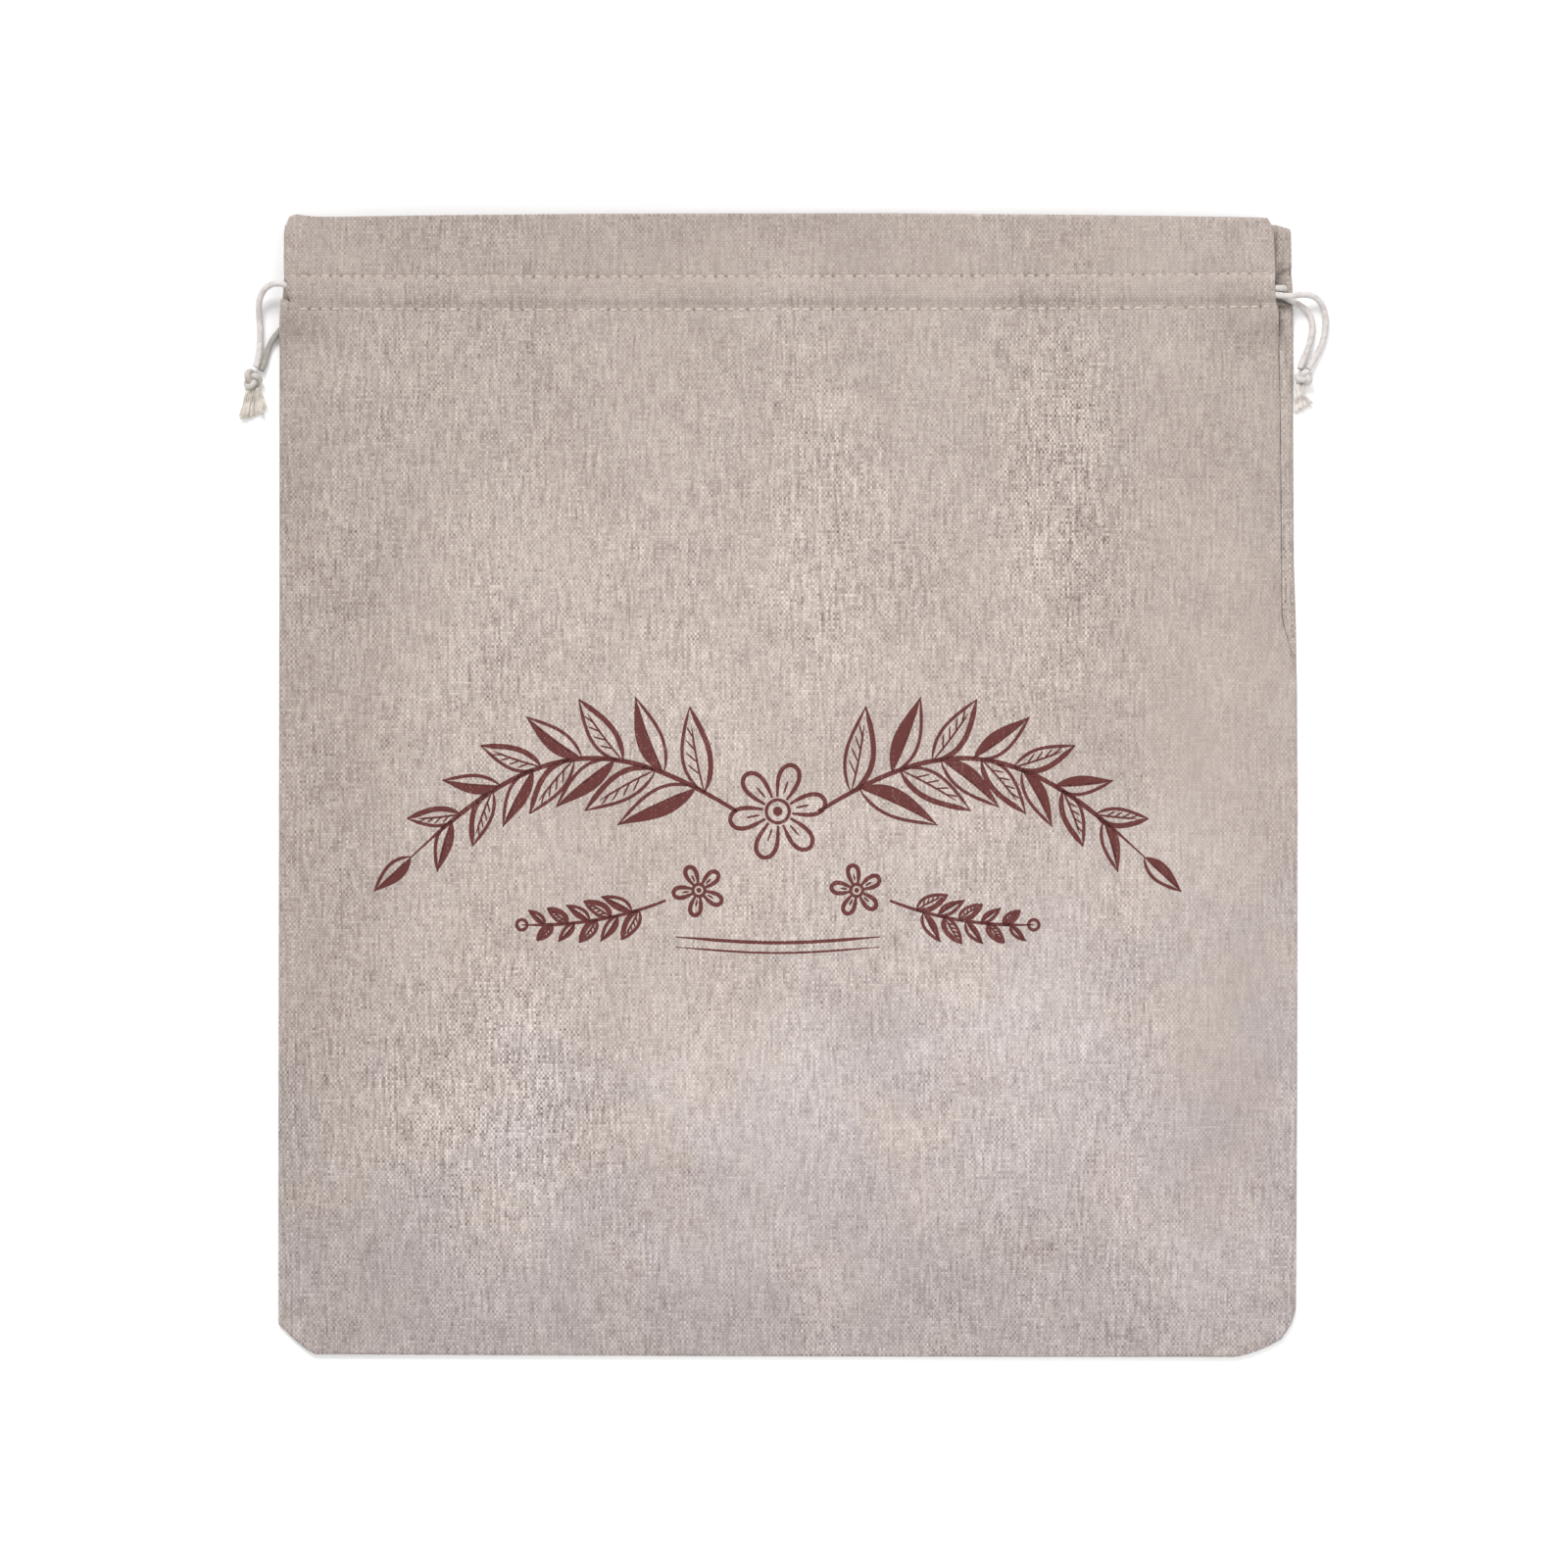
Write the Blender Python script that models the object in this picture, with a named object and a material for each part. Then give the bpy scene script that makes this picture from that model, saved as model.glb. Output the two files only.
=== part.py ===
"""Linen bread bag, lying face up on its back.

Two cloth panels are sewn together at the sides and the bottom. Each has a doubled heading with a
stitched channel, and two knotted drawstrings run through both channels. X is the width, +Y runs
to the mouth, and +Z is up from the surface that the bag lies on.
"""

import math

import bmesh
import bpy
import numpy as np
from mathutils import Matrix, Vector

# Cloth and cord, in metres like every length here
CLOTH = 0.0011
GAP = 0.0003
CORD = 0.0025
CORD_RADIUS = CORD / 2

# Drawstring channel: its two stitch rows, the hem's edge below them and the lanes of its two cords
ROW_LOW = 0.1882
ROW_HIGH = 0.2012
HEM_EDGE = 0.1850
HEM_STEP = 0.0004
TUNNEL = CORD + 2 * GAP
LANE_UPPER = 0.1962
LANE_LOWER = 0.1930
CHANNEL_TILT = 0.0025
CHANNEL_SAG = 0.0011
RIDGE = 2 * CLOTH + TUNNEL

# Heights of the front panel's outer face above the surface
RIM_TOP = 2 * CLOTH + GAP
MOUTH_GAP = 0.0050
CHANNEL_EDGE_TOP = 2 * RIDGE + GAP - TUNNEL / 2
CHANNEL_MIDDLE_TOP = 2 * RIDGE + MOUTH_GAP - TUNNEL / 2
BODY_TOP = 0.0120
HEADING_EDGE_TOP = 4 * CLOTH + GAP
HEADING_MIDDLE_TOP = 0.0128
HEADING_END = 0.2250
SWELL_WIDTH = 0.080
SWELL_START = 0.100

# The side seams end here, and the slits to the channels' mouths begin
SLIT_END = 0.1700

# The inner layer stops short of the channels' mouths, where a cord turns from front to back
FRONT_RECESS = (0.0097, 0.0040)
BACK_RECESS = (0.0118, 0.0068)
RECESS_LOW = 0.1853
RECESS_HIGH = 0.2045
RECESS_EASE = 0.0040

# Rolled strip of the back panel that shows beside the front panel's right seam
STRIP_LEAST = 0.0012
STRIP_START = 0.053
STRIP_EASE = 0.010
STRIP_COLUMNS = (1.06, 1.60, 2.0)
STRIP_EDGE_SHARE = 0.7

# Front panel's side edges, from its lower corners to the top: y, left x, right x
FRONT_SIDES = (
    (-0.2180, -0.1945, 0.1945),
    (-0.2120, -0.2007, 0.1984),
    (-0.2062, -0.2007, 0.2001),
    (-0.1660, -0.2007, 0.2003),
    (-0.1200, -0.2007, 0.2006),
    (0.0000, -0.2005, 0.2007),
    (0.0450, -0.2004, 0.2004),
    (0.0560, -0.2004, 0.1974),
    (0.0660, -0.2003, 0.1947),
    (0.1470, -0.2003, 0.1940),
    (0.1800, -0.2002, 0.1932),
    (0.1860, -0.1999, 0.1930),
    (0.1882, -0.1994, 0.1926),
    (0.1893, -0.1988, 0.1922),
    (0.1901, -0.1955, 0.1919),
    (0.1932, -0.1963, 0.1915),
    (0.1946, -0.1973, 0.1913),
    (0.1984, -0.1967, 0.1915),
    (0.2000, -0.1979, 0.1916),
    (0.2012, -0.1982, 0.1917),
    (0.2165, -0.1984, 0.1914),
    (0.2187, -0.1980, 0.1911),
    (0.2225, -0.1964, 0.1889),
)

# Back panel's side edges: y, left x, right x
BACK_SIDES = (
    (-0.2180, -0.1945, 0.1945),
    (-0.2120, -0.2007, 0.1984),
    (-0.2062, -0.2007, 0.2001),
    (-0.1660, -0.2007, 0.2003),
    (-0.1200, -0.2007, 0.2006),
    (0.0000, -0.2005, 0.2007),
    (0.0450, -0.2004, 0.2004),
    (0.0560, -0.2004, 0.2003),
    (0.0660, -0.2003, 0.2001),
    (0.0900, -0.2003, 0.1993),
    (0.1470, -0.2003, 0.1990),
    (0.1800, -0.2002, 0.1991),
    (0.1882, -0.1995, 0.1990),
    (0.2012, -0.1985, 0.1983),
    (0.2180, -0.1982, 0.1981),
    (0.2225, -0.1982, 0.1979),
)

# Lower edge of both panels: x, y
BOTTOM_EDGE = (
    (-0.1945, -0.2180),
    (-0.1905, -0.2214),
    (-0.1868, -0.2239),
    (-0.1200, -0.2243),
    (0.0000, -0.2248),
    (0.1000, -0.2250),
    (0.1770, -0.2250),
    (0.1830, -0.2234),
    (0.1890, -0.2210),
    (0.1945, -0.2180),
)

# Top edge of the front panel's heading: x, y
FRONT_TOP = (
    (-0.1964, 0.2245),
    (-0.1937, 0.2255),
    (-0.1860, 0.2244),
    (-0.1750, 0.2243),
    (-0.0800, 0.2250),
    (0.0400, 0.2250),
    (0.1300, 0.2239),
    (0.1840, 0.2233),
    (0.1889, 0.2231),
)

# Top edge of the back panel's heading: x, y
BACK_TOP = (
    (-0.1982, 0.2215),
    (0.0000, 0.2225),
    (0.1700, 0.2212),
    (0.1924, 0.2205),
    (0.1979, 0.2188),
)

# Rows of both panels up the bag: y, layers of cloth, swell of the channel from 0 to 1
BODY_ROWS = (
    (-0.2180, 1, 0.0),
    (-0.2145, 1, 0.0),
    (-0.2090, 1, 0.0),
    (-0.2010, 1, 0.0),
    (-0.1890, 1, 0.0),
    (-0.1720, 1, 0.0),
    (-0.1500, 1, 0.0),
    (-0.1150, 1, 0.0),
    (-0.0750, 1, 0.0),
    (-0.0350, 1, 0.0),
    (0.0050, 1, 0.0),
    (0.0450, 1, 0.0),
    (0.0510, 1, 0.0),
    (0.0580, 1, 0.0),
    (0.0680, 1, 0.0),
    (0.0950, 1, 0.0),
    (0.1250, 1, 0.0),
    (0.1500, 1, 0.0),
    (0.1660, 1, 0.0),
    (0.1730, 1, 0.0),
    (0.1790, 1, 0.0),
    (HEM_EDGE - HEM_STEP / 2, 1, 0.0),
    (HEM_EDGE + HEM_STEP / 2, 2, 0.0),
    (ROW_LOW, 2, 0.0),
    (0.1906, 2, 0.96),
    (0.1946, 2, 1.0),
    (0.1988, 2, 0.96),
    (ROW_HIGH, 2, 0.0),
    (0.2050, 2, 0.0),
    (0.2110, 2, 0.0),
    (0.2170, 2, 0.0),
    (0.2195, 2, 0.0),
    (0.2217, 2, 0.0),
    (0.2225, 2, 0.0),
)
TIP_PINCH = 0.0005

# The faces of a panel through its channel, and how far each shares the inner layer's recess
INNER_SHARE = {"outer": 0.0, "near": 0.0, "point": 0.5, "far": 1.0, "inner": 1.0}
CORNER_BLEND = 0.030
TOP_BLEND = 0.018

# Distances of the columns from each side edge, and the spacing of the columns between them
EDGE_COLUMNS = (0.0, 0.004, 0.010, 0.020, 0.035, 0.052, 0.072)
FRONT_COLUMN_PITCH = 0.0195
BACK_COLUMN_PITCH = 0.043
HALF_WIDTH = 0.2000

# Soft creases that run down from the channel: x at the channel, x and y at the foot, half width, height
CREASES = (
    (0.064, 0.074, 0.030, 0.013, -0.0009),
    (0.101, 0.106, 0.050, 0.014, 0.0005),
    (0.138, 0.143, 0.020, 0.017, -0.0011),
    (-0.034, -0.040, 0.070, 0.017, -0.0006),
    (-0.108, -0.100, 0.045, 0.019, -0.0008),
    (-0.150, -0.143, 0.000, 0.016, 0.0005),
)
CREASE_AT_CHANNEL = 0.25
CREASE_WIDENING = 1.6

# Where the drawstrings' held runs meet their free strands inside the channels
JOINT_LEFT = -0.1860
JOINT_RIGHT = 0.1830
RUN_PITCH = 0.020
STRAND_PITCH = 0.0028
TURN_STEPS = 6

# Where each run turns round from the front channel to the back one
TURN_LEFT = -0.1880
TURN_RIGHT = 0.1925

# The right turn lies a little lower than its lane, against the front strand
TURN_DROP = 0.0007
BACK_LANE = CLOTH + TUNNEL / 2

# Free strands, each from its channel's mouth to its knot: x, y, z
ON_FLOOR = CORD_RADIUS + 0.00005
LEFT_FRONT_ROUTE = (
    (-0.1958, 0.1963, 0.0085),
    (-0.1990, 0.1974, 0.0083),
    (-0.2020, 0.1975, 0.0078),
    (-0.2047, 0.1964, 0.0069),
    (-0.2067, 0.1944, 0.0058),
    (-0.2079, 0.1916, 0.0047),
    (-0.2083, 0.1885, 0.0037),
    (-0.2082, 0.1842, 0.0026),
    (-0.2079, 0.1795, 0.0019),
    (-0.2080, 0.1745, 0.0019),
    (-0.2085, 0.1700, 0.0023),
    (-0.2091, 0.1668, 0.0027),
    (-0.2096, 0.1650, 0.0029),
)
LEFT_BACK_ROUTE = (
    (-0.1915, 0.1957, BACK_LANE),
    (-0.1933, 0.1944, 0.0028),
    (-0.1942, 0.1919, 0.0033),
    (-0.1950, 0.1887, 0.0039),
    (-0.1962, 0.1852, 0.0040),
    (-0.1980, 0.1820, 0.0035),
    (-0.2002, 0.1792, 0.0027),
    (-0.2023, 0.1767, 0.0019),
    (-0.2040, 0.1739, ON_FLOOR),
    (-0.2051, 0.1709, ON_FLOOR),
    (-0.2059, 0.1679, ON_FLOOR),
    (-0.2068, 0.1653, 0.0014),
    (-0.2076, 0.1637, 0.0018),
)
RIGHT_FRONT_ROUTE = (
    (0.1885, 0.1934, 0.0087),
    (0.1925, 0.1931, 0.0083),
    (0.1958, 0.1927, 0.0078),
    (0.1990, 0.1928, 0.0071),
    (0.2022, 0.1932, 0.0062),
    (0.2054, 0.1931, 0.0051),
    (0.2083, 0.1918, 0.0040),
    (0.2105, 0.1892, 0.0030),
    (0.2116, 0.1854, 0.0021),
    (0.2117, 0.1805, 0.0015),
    (0.2110, 0.1760, ON_FLOOR),
    (0.2094, 0.1717, ON_FLOOR),
    (0.2073, 0.1680, 0.0015),
    (0.2058, 0.1654, 0.0020),
    (0.2050, 0.1642, 0.0023),
)
RIGHT_BACK_ROUTE = (
    (0.1925, 0.1932, BACK_LANE),
    (0.1955, 0.1925, BACK_LANE),
    (0.1983, 0.1910, BACK_LANE),
    (0.2010, 0.1897, 0.0023),
    (0.2035, 0.1880, 0.0017),
    (0.2055, 0.1856, ON_FLOOR),
    (0.2065, 0.1825, ON_FLOOR),
    (0.2065, 0.1790, ON_FLOOR),
    (0.2058, 0.1752, ON_FLOOR),
    (0.2046, 0.1715, ON_FLOOR),
    (0.2031, 0.1681, 0.0014),
    (0.2022, 0.1654, 0.0018),
    (0.2019, 0.1643, 0.0021),
)

# Knots: centre x and y, half sizes along x, y and z, and the lean of the wrap on top
LEFT_KNOT = (-0.2106, 0.1598, 0.0041, 0.0045, 0.0032, math.radians(-40))
RIGHT_KNOT = (0.2034, 0.1609, 0.0037, 0.0031, 0.0030, math.radians(25))
KNOT_SEGMENTS = 16
KNOT_RINGS = 10
WRAP_WIDTH = 0.36
WRAP_DEPTH = 0.17

# Frayed ends below the knots: root x and y, heading angle from -Y, head length, head width,
# longest lock, fan of the outer locks and shortening of the right-hand locks
LEFT_ENDS = (-0.2109, 0.1550, math.radians(-6), 0.0020, 0.0062, 0.0098, math.radians(20), 0.38)
RIGHT_ENDS = (0.2028, 0.1575, math.radians(4), 0.0036, 0.0044, 0.0066, math.radians(19), 0.20)
LOCK_COLUMNS = 4
LOCK_LAYERS = 3
LOCK_SECTIONS = 4
LOCK_INSET = 0.00016
LOCK_TAPER = 0.86
HEAD_HEIGHT = 0.0042
TIP_SPREAD = 0.0011
TIP_LOWEST = 0.00062

# Colours in sRGB, with roughness
FINISHES = {
    "linen_front": ((184, 170, 162), 0.92),
    "linen_back": ((181, 168, 160), 0.92),
    "cotton_cord": ((226, 220, 217), 0.85),
    "cotton_yarn": ((233, 224, 208), 0.90),
}


def linear(channel):
    """An sRGB channel, 0 to 255, as a linear value."""
    share = channel / 255
    return share / 12.92 if share <= 0.04045 else ((share + 0.055) / 1.055) ** 2.4


def material(name):
    """The named finish as a Principled material."""
    existing = bpy.data.materials.get(name)
    if existing:
        return existing
    colour, roughness = FINISHES[name]
    made = bpy.data.materials.new(name)
    made.use_nodes = True
    shader = made.node_tree.nodes["Principled BSDF"]
    shader.inputs["Base Color"].default_value = (*(linear(c) for c in colour), 1.0)
    shader.inputs["Roughness"].default_value = roughness
    shader.inputs["Metallic"].default_value = 0.0
    return made


def add_object(name, data, finish, bag):
    """Link a mesh or curve as a named piece of the bag."""
    made = bpy.data.objects.new(name, data)
    bpy.context.scene.collection.objects.link(made)
    made.data.materials.append(material(finish))
    made.parent = bag
    return made


def add_mesh(name, bm, finish, bag):
    """Link a bmesh as a named piece, with its faces out and smooth except at sharp edges."""
    bmesh.ops.recalc_face_normals(bm, faces=bm.faces)
    mesh = bpy.data.meshes.new(name)
    bm.to_mesh(mesh)
    bm.free()
    mesh.shade_smooth()
    mesh.set_sharp_from_angle(angle=math.radians(40))
    return add_object(name, mesh, finish, bag)


def ease(t):
    """A smooth step from 0 to 1."""
    t = min(max(t, 0.0), 1.0)
    return t * t * (3 - 2 * t)


def dome(t):
    """A rounded rise from 0 to 1 that is steepest at its foot."""
    t = min(max(t, 0.0), 1.0)
    return 1 - (1 - t) ** 2


def mix(a, b, share):
    """The value a share of the way from a to b."""
    return a + (b - a) * share


def look_up(table, at, column=1):
    """A table's value at a place in its first column, straight between its rows."""
    return float(np.interp(at, [row[0] for row in table], [row[column] for row in table]))


def crease_height(x, y):
    """How far the soft creases lift or lower the front panel at a point."""
    total = 0.0
    for top_x, foot_x, foot_y, half_width, height in CREASES:
        along = min(max((y - foot_y) / (HEM_EDGE - foot_y), 0.0), 1.0)
        centre = mix(foot_x, top_x, along)
        width = half_width * mix(CREASE_WIDENING, 1.0, along)
        strength = ease(along * 1.6)
        if y > SLIT_END:
            strength *= mix(1.0, CREASE_AT_CHANNEL, ease((y - SLIT_END) / (ROW_LOW - SLIT_END)))
        total += height * strength * math.exp(-(((x - centre) / width) ** 2))
    return total


def front_height(x, y):
    """Height of the front panel's outer face, before the channel's own swell."""
    across = dome((x - look_up(FRONT_SIDES, y, 1)) / SWELL_WIDTH)
    across *= dome((look_up(FRONT_SIDES, y, 2) - x) / SWELL_WIDTH)
    across *= dome((y - look_up(BOTTOM_EDGE, x)) / SWELL_WIDTH)
    edge = mix(RIM_TOP, CHANNEL_EDGE_TOP, ease((y - SLIT_END) / (ROW_LOW - SLIT_END)))
    middle = mix(BODY_TOP, CHANNEL_MIDDLE_TOP, ease((y - SWELL_START) / (ROW_LOW - SWELL_START)))
    above = ease((y - ROW_HIGH) / (HEADING_END - ROW_HIGH))
    edge = mix(edge, HEADING_EDGE_TOP, above)
    middle = mix(middle, HEADING_MIDDLE_TOP, above)
    return edge + (middle - edge + crease_height(x, y)) * across


def recess(y):
    """How much of the inner layer's recess applies at this height up the bag."""
    return ease((y - RECESS_LOW) / RECESS_EASE) * ease((RECESS_HIGH - y) / RECESS_EASE)


def row_shift(x, y):
    """How far the rows at the channel lie off y: they climb to the right and sag in the middle."""
    middle = max(0.0, 1 - (x / HALF_WIDTH) ** 4)
    fade = 1 - ease((y - ROW_HIGH) / (HEADING_END - ROW_HIGH))
    return CHANNEL_TILT * x - CHANNEL_SAG * middle * fade


def sheared(x, y):
    """Where a row at y passes x. Rows below the slits run straight across."""
    return y + row_shift(x, y) * ease((y - SLIT_END) / (HEM_EDGE - SLIT_END))


def panel_point(row_y, x, top):
    """Where a column at x meets a row, in plan."""
    first, last = BODY_ROWS[0][0], BODY_ROWS[-1][0]
    low = (1 - ease((row_y - first) / CORNER_BLEND)) * (look_up(BOTTOM_EDGE, x) - first)
    high = (1 - ease((last - row_y) / TOP_BLEND)) * (look_up(top, x) - last)
    return x, sheared(x, row_y + low) + high


def strip_rise(row_y, u):
    """How far the back panel's rolled strip stands above its single layer."""
    if u <= 1 or row_y > HEM_EDGE:
        return 0.0
    share = STRIP_EDGE_SHARE if u == STRIP_COLUMNS[-1] else 1.0
    return (CLOTH + GAP) * ease((row_y - STRIP_START) / STRIP_EASE) * share


def front_place(row, index, u, face):
    """A point of the front panel on one of its faces, from its outer one to its inner one."""
    row_y, layers, swell = row
    drawn_in = INNER_SHARE[face] * recess(row_y)
    left = look_up(FRONT_SIDES, row_y, 1) + FRONT_RECESS[0] * drawn_in
    right = look_up(FRONT_SIDES, row_y, 2) - FRONT_RECESS[1] * drawn_in
    x, y = panel_point(row_y, mix(left, right, u), FRONT_TOP)
    pinch = TIP_PINCH if index == len(BODY_ROWS) - 1 else 0.0
    outer = front_height(x, y) + TUNNEL / 2 * swell
    inner = outer - layers * CLOTH - TUNNEL * swell
    heights = {
        "outer": outer - pinch,
        "near": outer - CLOTH,
        "point": outer - CLOTH,
        "far": inner + CLOTH,
        "inner": inner + pinch,
    }
    return x, y, heights[face]


def back_place(row, index, u, face):
    """A point of the back panel, flat on the surface. Columns past 1 lie in its rolled strip."""
    row_y, layers, swell = row
    drawn_in = INNER_SHARE[face] * recess(row_y)
    left = look_up(BACK_SIDES, row_y, 1) + BACK_RECESS[0] * drawn_in
    right = look_up(BACK_SIDES, row_y, 2) - BACK_RECESS[1] * drawn_in
    seam = min(look_up(FRONT_SIDES, row_y, 2) + GAP, right - STRIP_LEAST)
    x = mix(left, seam, u) if u <= 1 else mix(seam, right, u - 1)
    x, y = panel_point(row_y, x, BACK_TOP)
    pinch = TIP_PINCH if index == len(BODY_ROWS) - 1 else 0.0
    inner = layers * CLOTH + TUNNEL * swell
    heights = {
        "outer": pinch,
        "near": CLOTH,
        "point": CLOTH,
        "far": inner - CLOTH,
        "inner": inner - pinch + strip_rise(row_y, u),
    }
    return x, y, heights[face]


def columns(pitch):
    """Column positions from 0 at the left edge to 1 at the right, closer near both sides."""
    width = 2 * HALF_WIDTH
    middle = width - 2 * EDGE_COLUMNS[-1]
    count = round(middle / pitch)
    places = list(EDGE_COLUMNS)
    places += [EDGE_COLUMNS[-1] + middle * k / count for k in range(1, count)]
    places += [width - d for d in reversed(EDGE_COLUMNS)]
    return [p / width for p in places]


def stack_faces(rows):
    """The faces that each row passes through, outermost first. The channel opens between two rows."""
    open_rows = [k for k, row in enumerate(rows) if row[2] > 0]
    first, last = open_rows[0] - 1, open_rows[-1] + 1
    stacks = []
    for k in range(len(rows)):
        if k in open_rows:
            stacks.append(("outer", "near", "far", "inner"))
        elif k in (first, last):
            stacks.append(("outer", "point", "inner"))
        else:
            stacks.append(("outer", "inner"))
    return stacks, first, last


def end_faces(bm, stacks):
    """Close a panel's side edge, leaving the channel's mouth open."""
    for low, high in zip(stacks, stacks[1:]):
        if len(low) == 2 and len(high) == 2:
            bm.faces.new((low["outer"], high["outer"], high["inner"], low["inner"]))
        elif len(low) == 2:
            bm.faces.new((low["outer"], high["outer"], high["point"]))
            bm.faces.new((low["outer"], high["point"], high["inner"], low["inner"]))
        elif len(high) == 2:
            bm.faces.new((low["outer"], high["outer"], low["point"]))
            bm.faces.new((low["point"], high["outer"], high["inner"], low["inner"]))
        else:
            near = [stack.get("near", stack.get("point")) for stack in (low, high)]
            far = [stack.get("far", stack.get("point")) for stack in (low, high)]
            bm.faces.new((low["outer"], high["outer"], near[1], near[0]))
            bm.faces.new((far[0], far[1], high["inner"], low["inner"]))


def sheet(bm, lines):
    """Quads between neighbouring lines of points."""
    for low, high in zip(lines, lines[1:]):
        for k in range(len(low) - 1):
            bm.faces.new((low[k], low[k + 1], high[k + 1], high[k]))


def build_panel(name, place, stations, finish, bag):
    """A cloth panel with its doubled heading and open-ended channel, as one closed solid."""
    bm = bmesh.new()
    faces, first, last = stack_faces(BODY_ROWS)
    grid = []
    for index, row in enumerate(BODY_ROWS):
        made = {}
        for face in faces[index]:
            made[face] = [bm.verts.new(place(row, index, u, face)) for u in stations]
        grid.append(made)
    sheet(bm, [row["outer"] for row in grid])
    sheet(bm, [row["inner"] for row in grid])
    tunnel = grid[first : last + 1]
    sheet(bm, [row.get("near", row.get("point")) for row in tunnel])
    sheet(bm, [row.get("far", row.get("point")) for row in tunnel])
    sheet(bm, [grid[0]["outer"], grid[0]["inner"]])
    sheet(bm, [grid[-1]["outer"], grid[-1]["inner"]])
    for side in (0, -1):
        end_faces(bm, [{face: line[side] for face, line in row.items()} for row in grid])
    return add_mesh(name, bm, finish, bag)


def lane_point(x, lane, front):
    """The centre of a cord's lane inside the front or the back channel."""
    y = lane + row_shift(x, lane)
    if not front:
        return Vector((x, y, BACK_LANE))
    left = look_up(FRONT_SIDES, lane, 1)
    right = look_up(FRONT_SIDES, lane, 2)
    inside = min(max(x, left), right)
    return Vector((x, y, front_height(inside, y) - CLOTH))


def curved(points, samples=24):
    """A smooth curve through the given points, as many short steps."""
    points = [Vector(p) for p in points]
    padded = [2 * points[0] - points[1], *points, 2 * points[-1] - points[-2]]
    path = []
    for a, b, c, d in zip(padded, padded[1:], padded[2:], padded[3:]):
        square = 2 * a - 5 * b + 4 * c - d
        cube = 3 * b - a - 3 * c + d
        for k in range(samples):
            t = k / samples
            path.append(0.5 * (2 * b + (c - a) * t + square * t**2 + cube * t**3))
    path.append(points[-1])
    return path


def evenly(path, pitch):
    """Points at even steps of about the given pitch along a path."""
    steps = np.array([(b - a).length for a, b in zip(path, path[1:])])
    travelled = np.concatenate(([0.0], np.cumsum(steps)))
    count = max(2, round(travelled[-1] / pitch))
    wanted = np.linspace(0.0, travelled[-1], count + 1)
    table = np.array([tuple(p) for p in path])
    return [Vector([float(np.interp(w, travelled, table[:, axis])) for axis in range(3)]) for w in wanted]


def build_cord(name, points, bag):
    """A round cord through the given points, with flat closed ends."""
    curve = bpy.data.curves.new(name, "CURVE")
    curve.dimensions = "3D"
    curve.bevel_depth = CORD_RADIUS
    curve.bevel_resolution = 2
    curve.use_fill_caps = True
    spline = curve.splines.new("POLY")
    spline.points.add(len(points) - 1)
    for target, point in zip(spline.points, points):
        target.co = (*point, 1.0)
    spline.use_smooth = True
    return add_object(name, curve, "cotton_cord", bag)


def turn(top, side):
    """The half circle by which a run turns from the front channel's mouth to the back one's."""
    radius = (top.z - BACK_LANE) / 2
    points = []
    for k in range(1, TURN_STEPS):
        angle = math.pi * k / TURN_STEPS
        out = top.x + side * radius * math.sin(angle)
        points.append(Vector((out, top.y, BACK_LANE + radius * (1 + math.cos(angle)))))
    return points


def build_run(name, lane, joint_x, turn_x, bag):
    """The part of a drawstring that the channels hold, from joint to joint round the far side."""
    side = 1 if turn_x > joint_x else -1
    count = round(abs(turn_x - joint_x) / RUN_PITCH)
    places = [mix(joint_x, turn_x, k / count) for k in range(count + 1)]
    drop = Vector((0.0, TURN_DROP if side > 0 else 0.0, 0.0))
    over = [lane_point(x, lane, True) for x in places]
    over[-1] -= drop
    under = [lane_point(x, lane, False) for x in places]
    under[-1] -= drop
    points = [*over, *turn(over[-1], side), *reversed(under)]
    build_cord(name, points, bag)


def build_strand(name, lane, front, joint_x, route, bag):
    """A drawstring's free stretch, from inside its channel to its knot."""
    side = -1 if joint_x < 0 else 1
    start = lane_point(joint_x + side * GAP, lane, front)
    ahead = lane_point(joint_x + side * CORD, lane, front)
    path = curved([start, ahead, *route])
    build_cord(name, evenly(path, STRAND_PITCH), bag)


def build_knot(name, values, bag):
    """An overhand knot as a ball with two crossing wraps raised on it."""
    centre_x, centre_y, half_x, half_y, half_z, lean = values
    wraps = [Vector((math.cos(lean), math.sin(lean), 0.25)), Vector((-math.sin(lean), math.cos(lean), 0.7))]
    bm = bmesh.new()
    bmesh.ops.create_uvsphere(bm, u_segments=KNOT_SEGMENTS, v_segments=KNOT_RINGS, radius=1.0)
    for vert in bm.verts:
        way = vert.co.normalized()
        closeness = max(math.exp(-((way.dot(n.normalized()) / WRAP_WIDTH) ** 2)) for n in wraps)
        reach = 1 - WRAP_DEPTH * (1 - closeness)
        vert.co = Vector((way.x * half_x, way.y * half_y, way.z * half_z)) * reach
    lowest = min(vert.co.z for vert in bm.verts)
    bmesh.ops.translate(bm, verts=bm.verts, vec=(centre_x, centre_y, -lowest))
    add_mesh(name, bm, "cotton_cord", bag)


def round_off(vert, half_width, half_height):
    """Move a point of the square from -1 to 1 onto an oval of the given half sizes."""
    u, v = vert.co.x, vert.co.y
    vert.co.x = u * math.sqrt(1 - v * v / 2) * half_width
    vert.co.y = v * math.sqrt(1 - u * u / 2) * half_height


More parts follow.
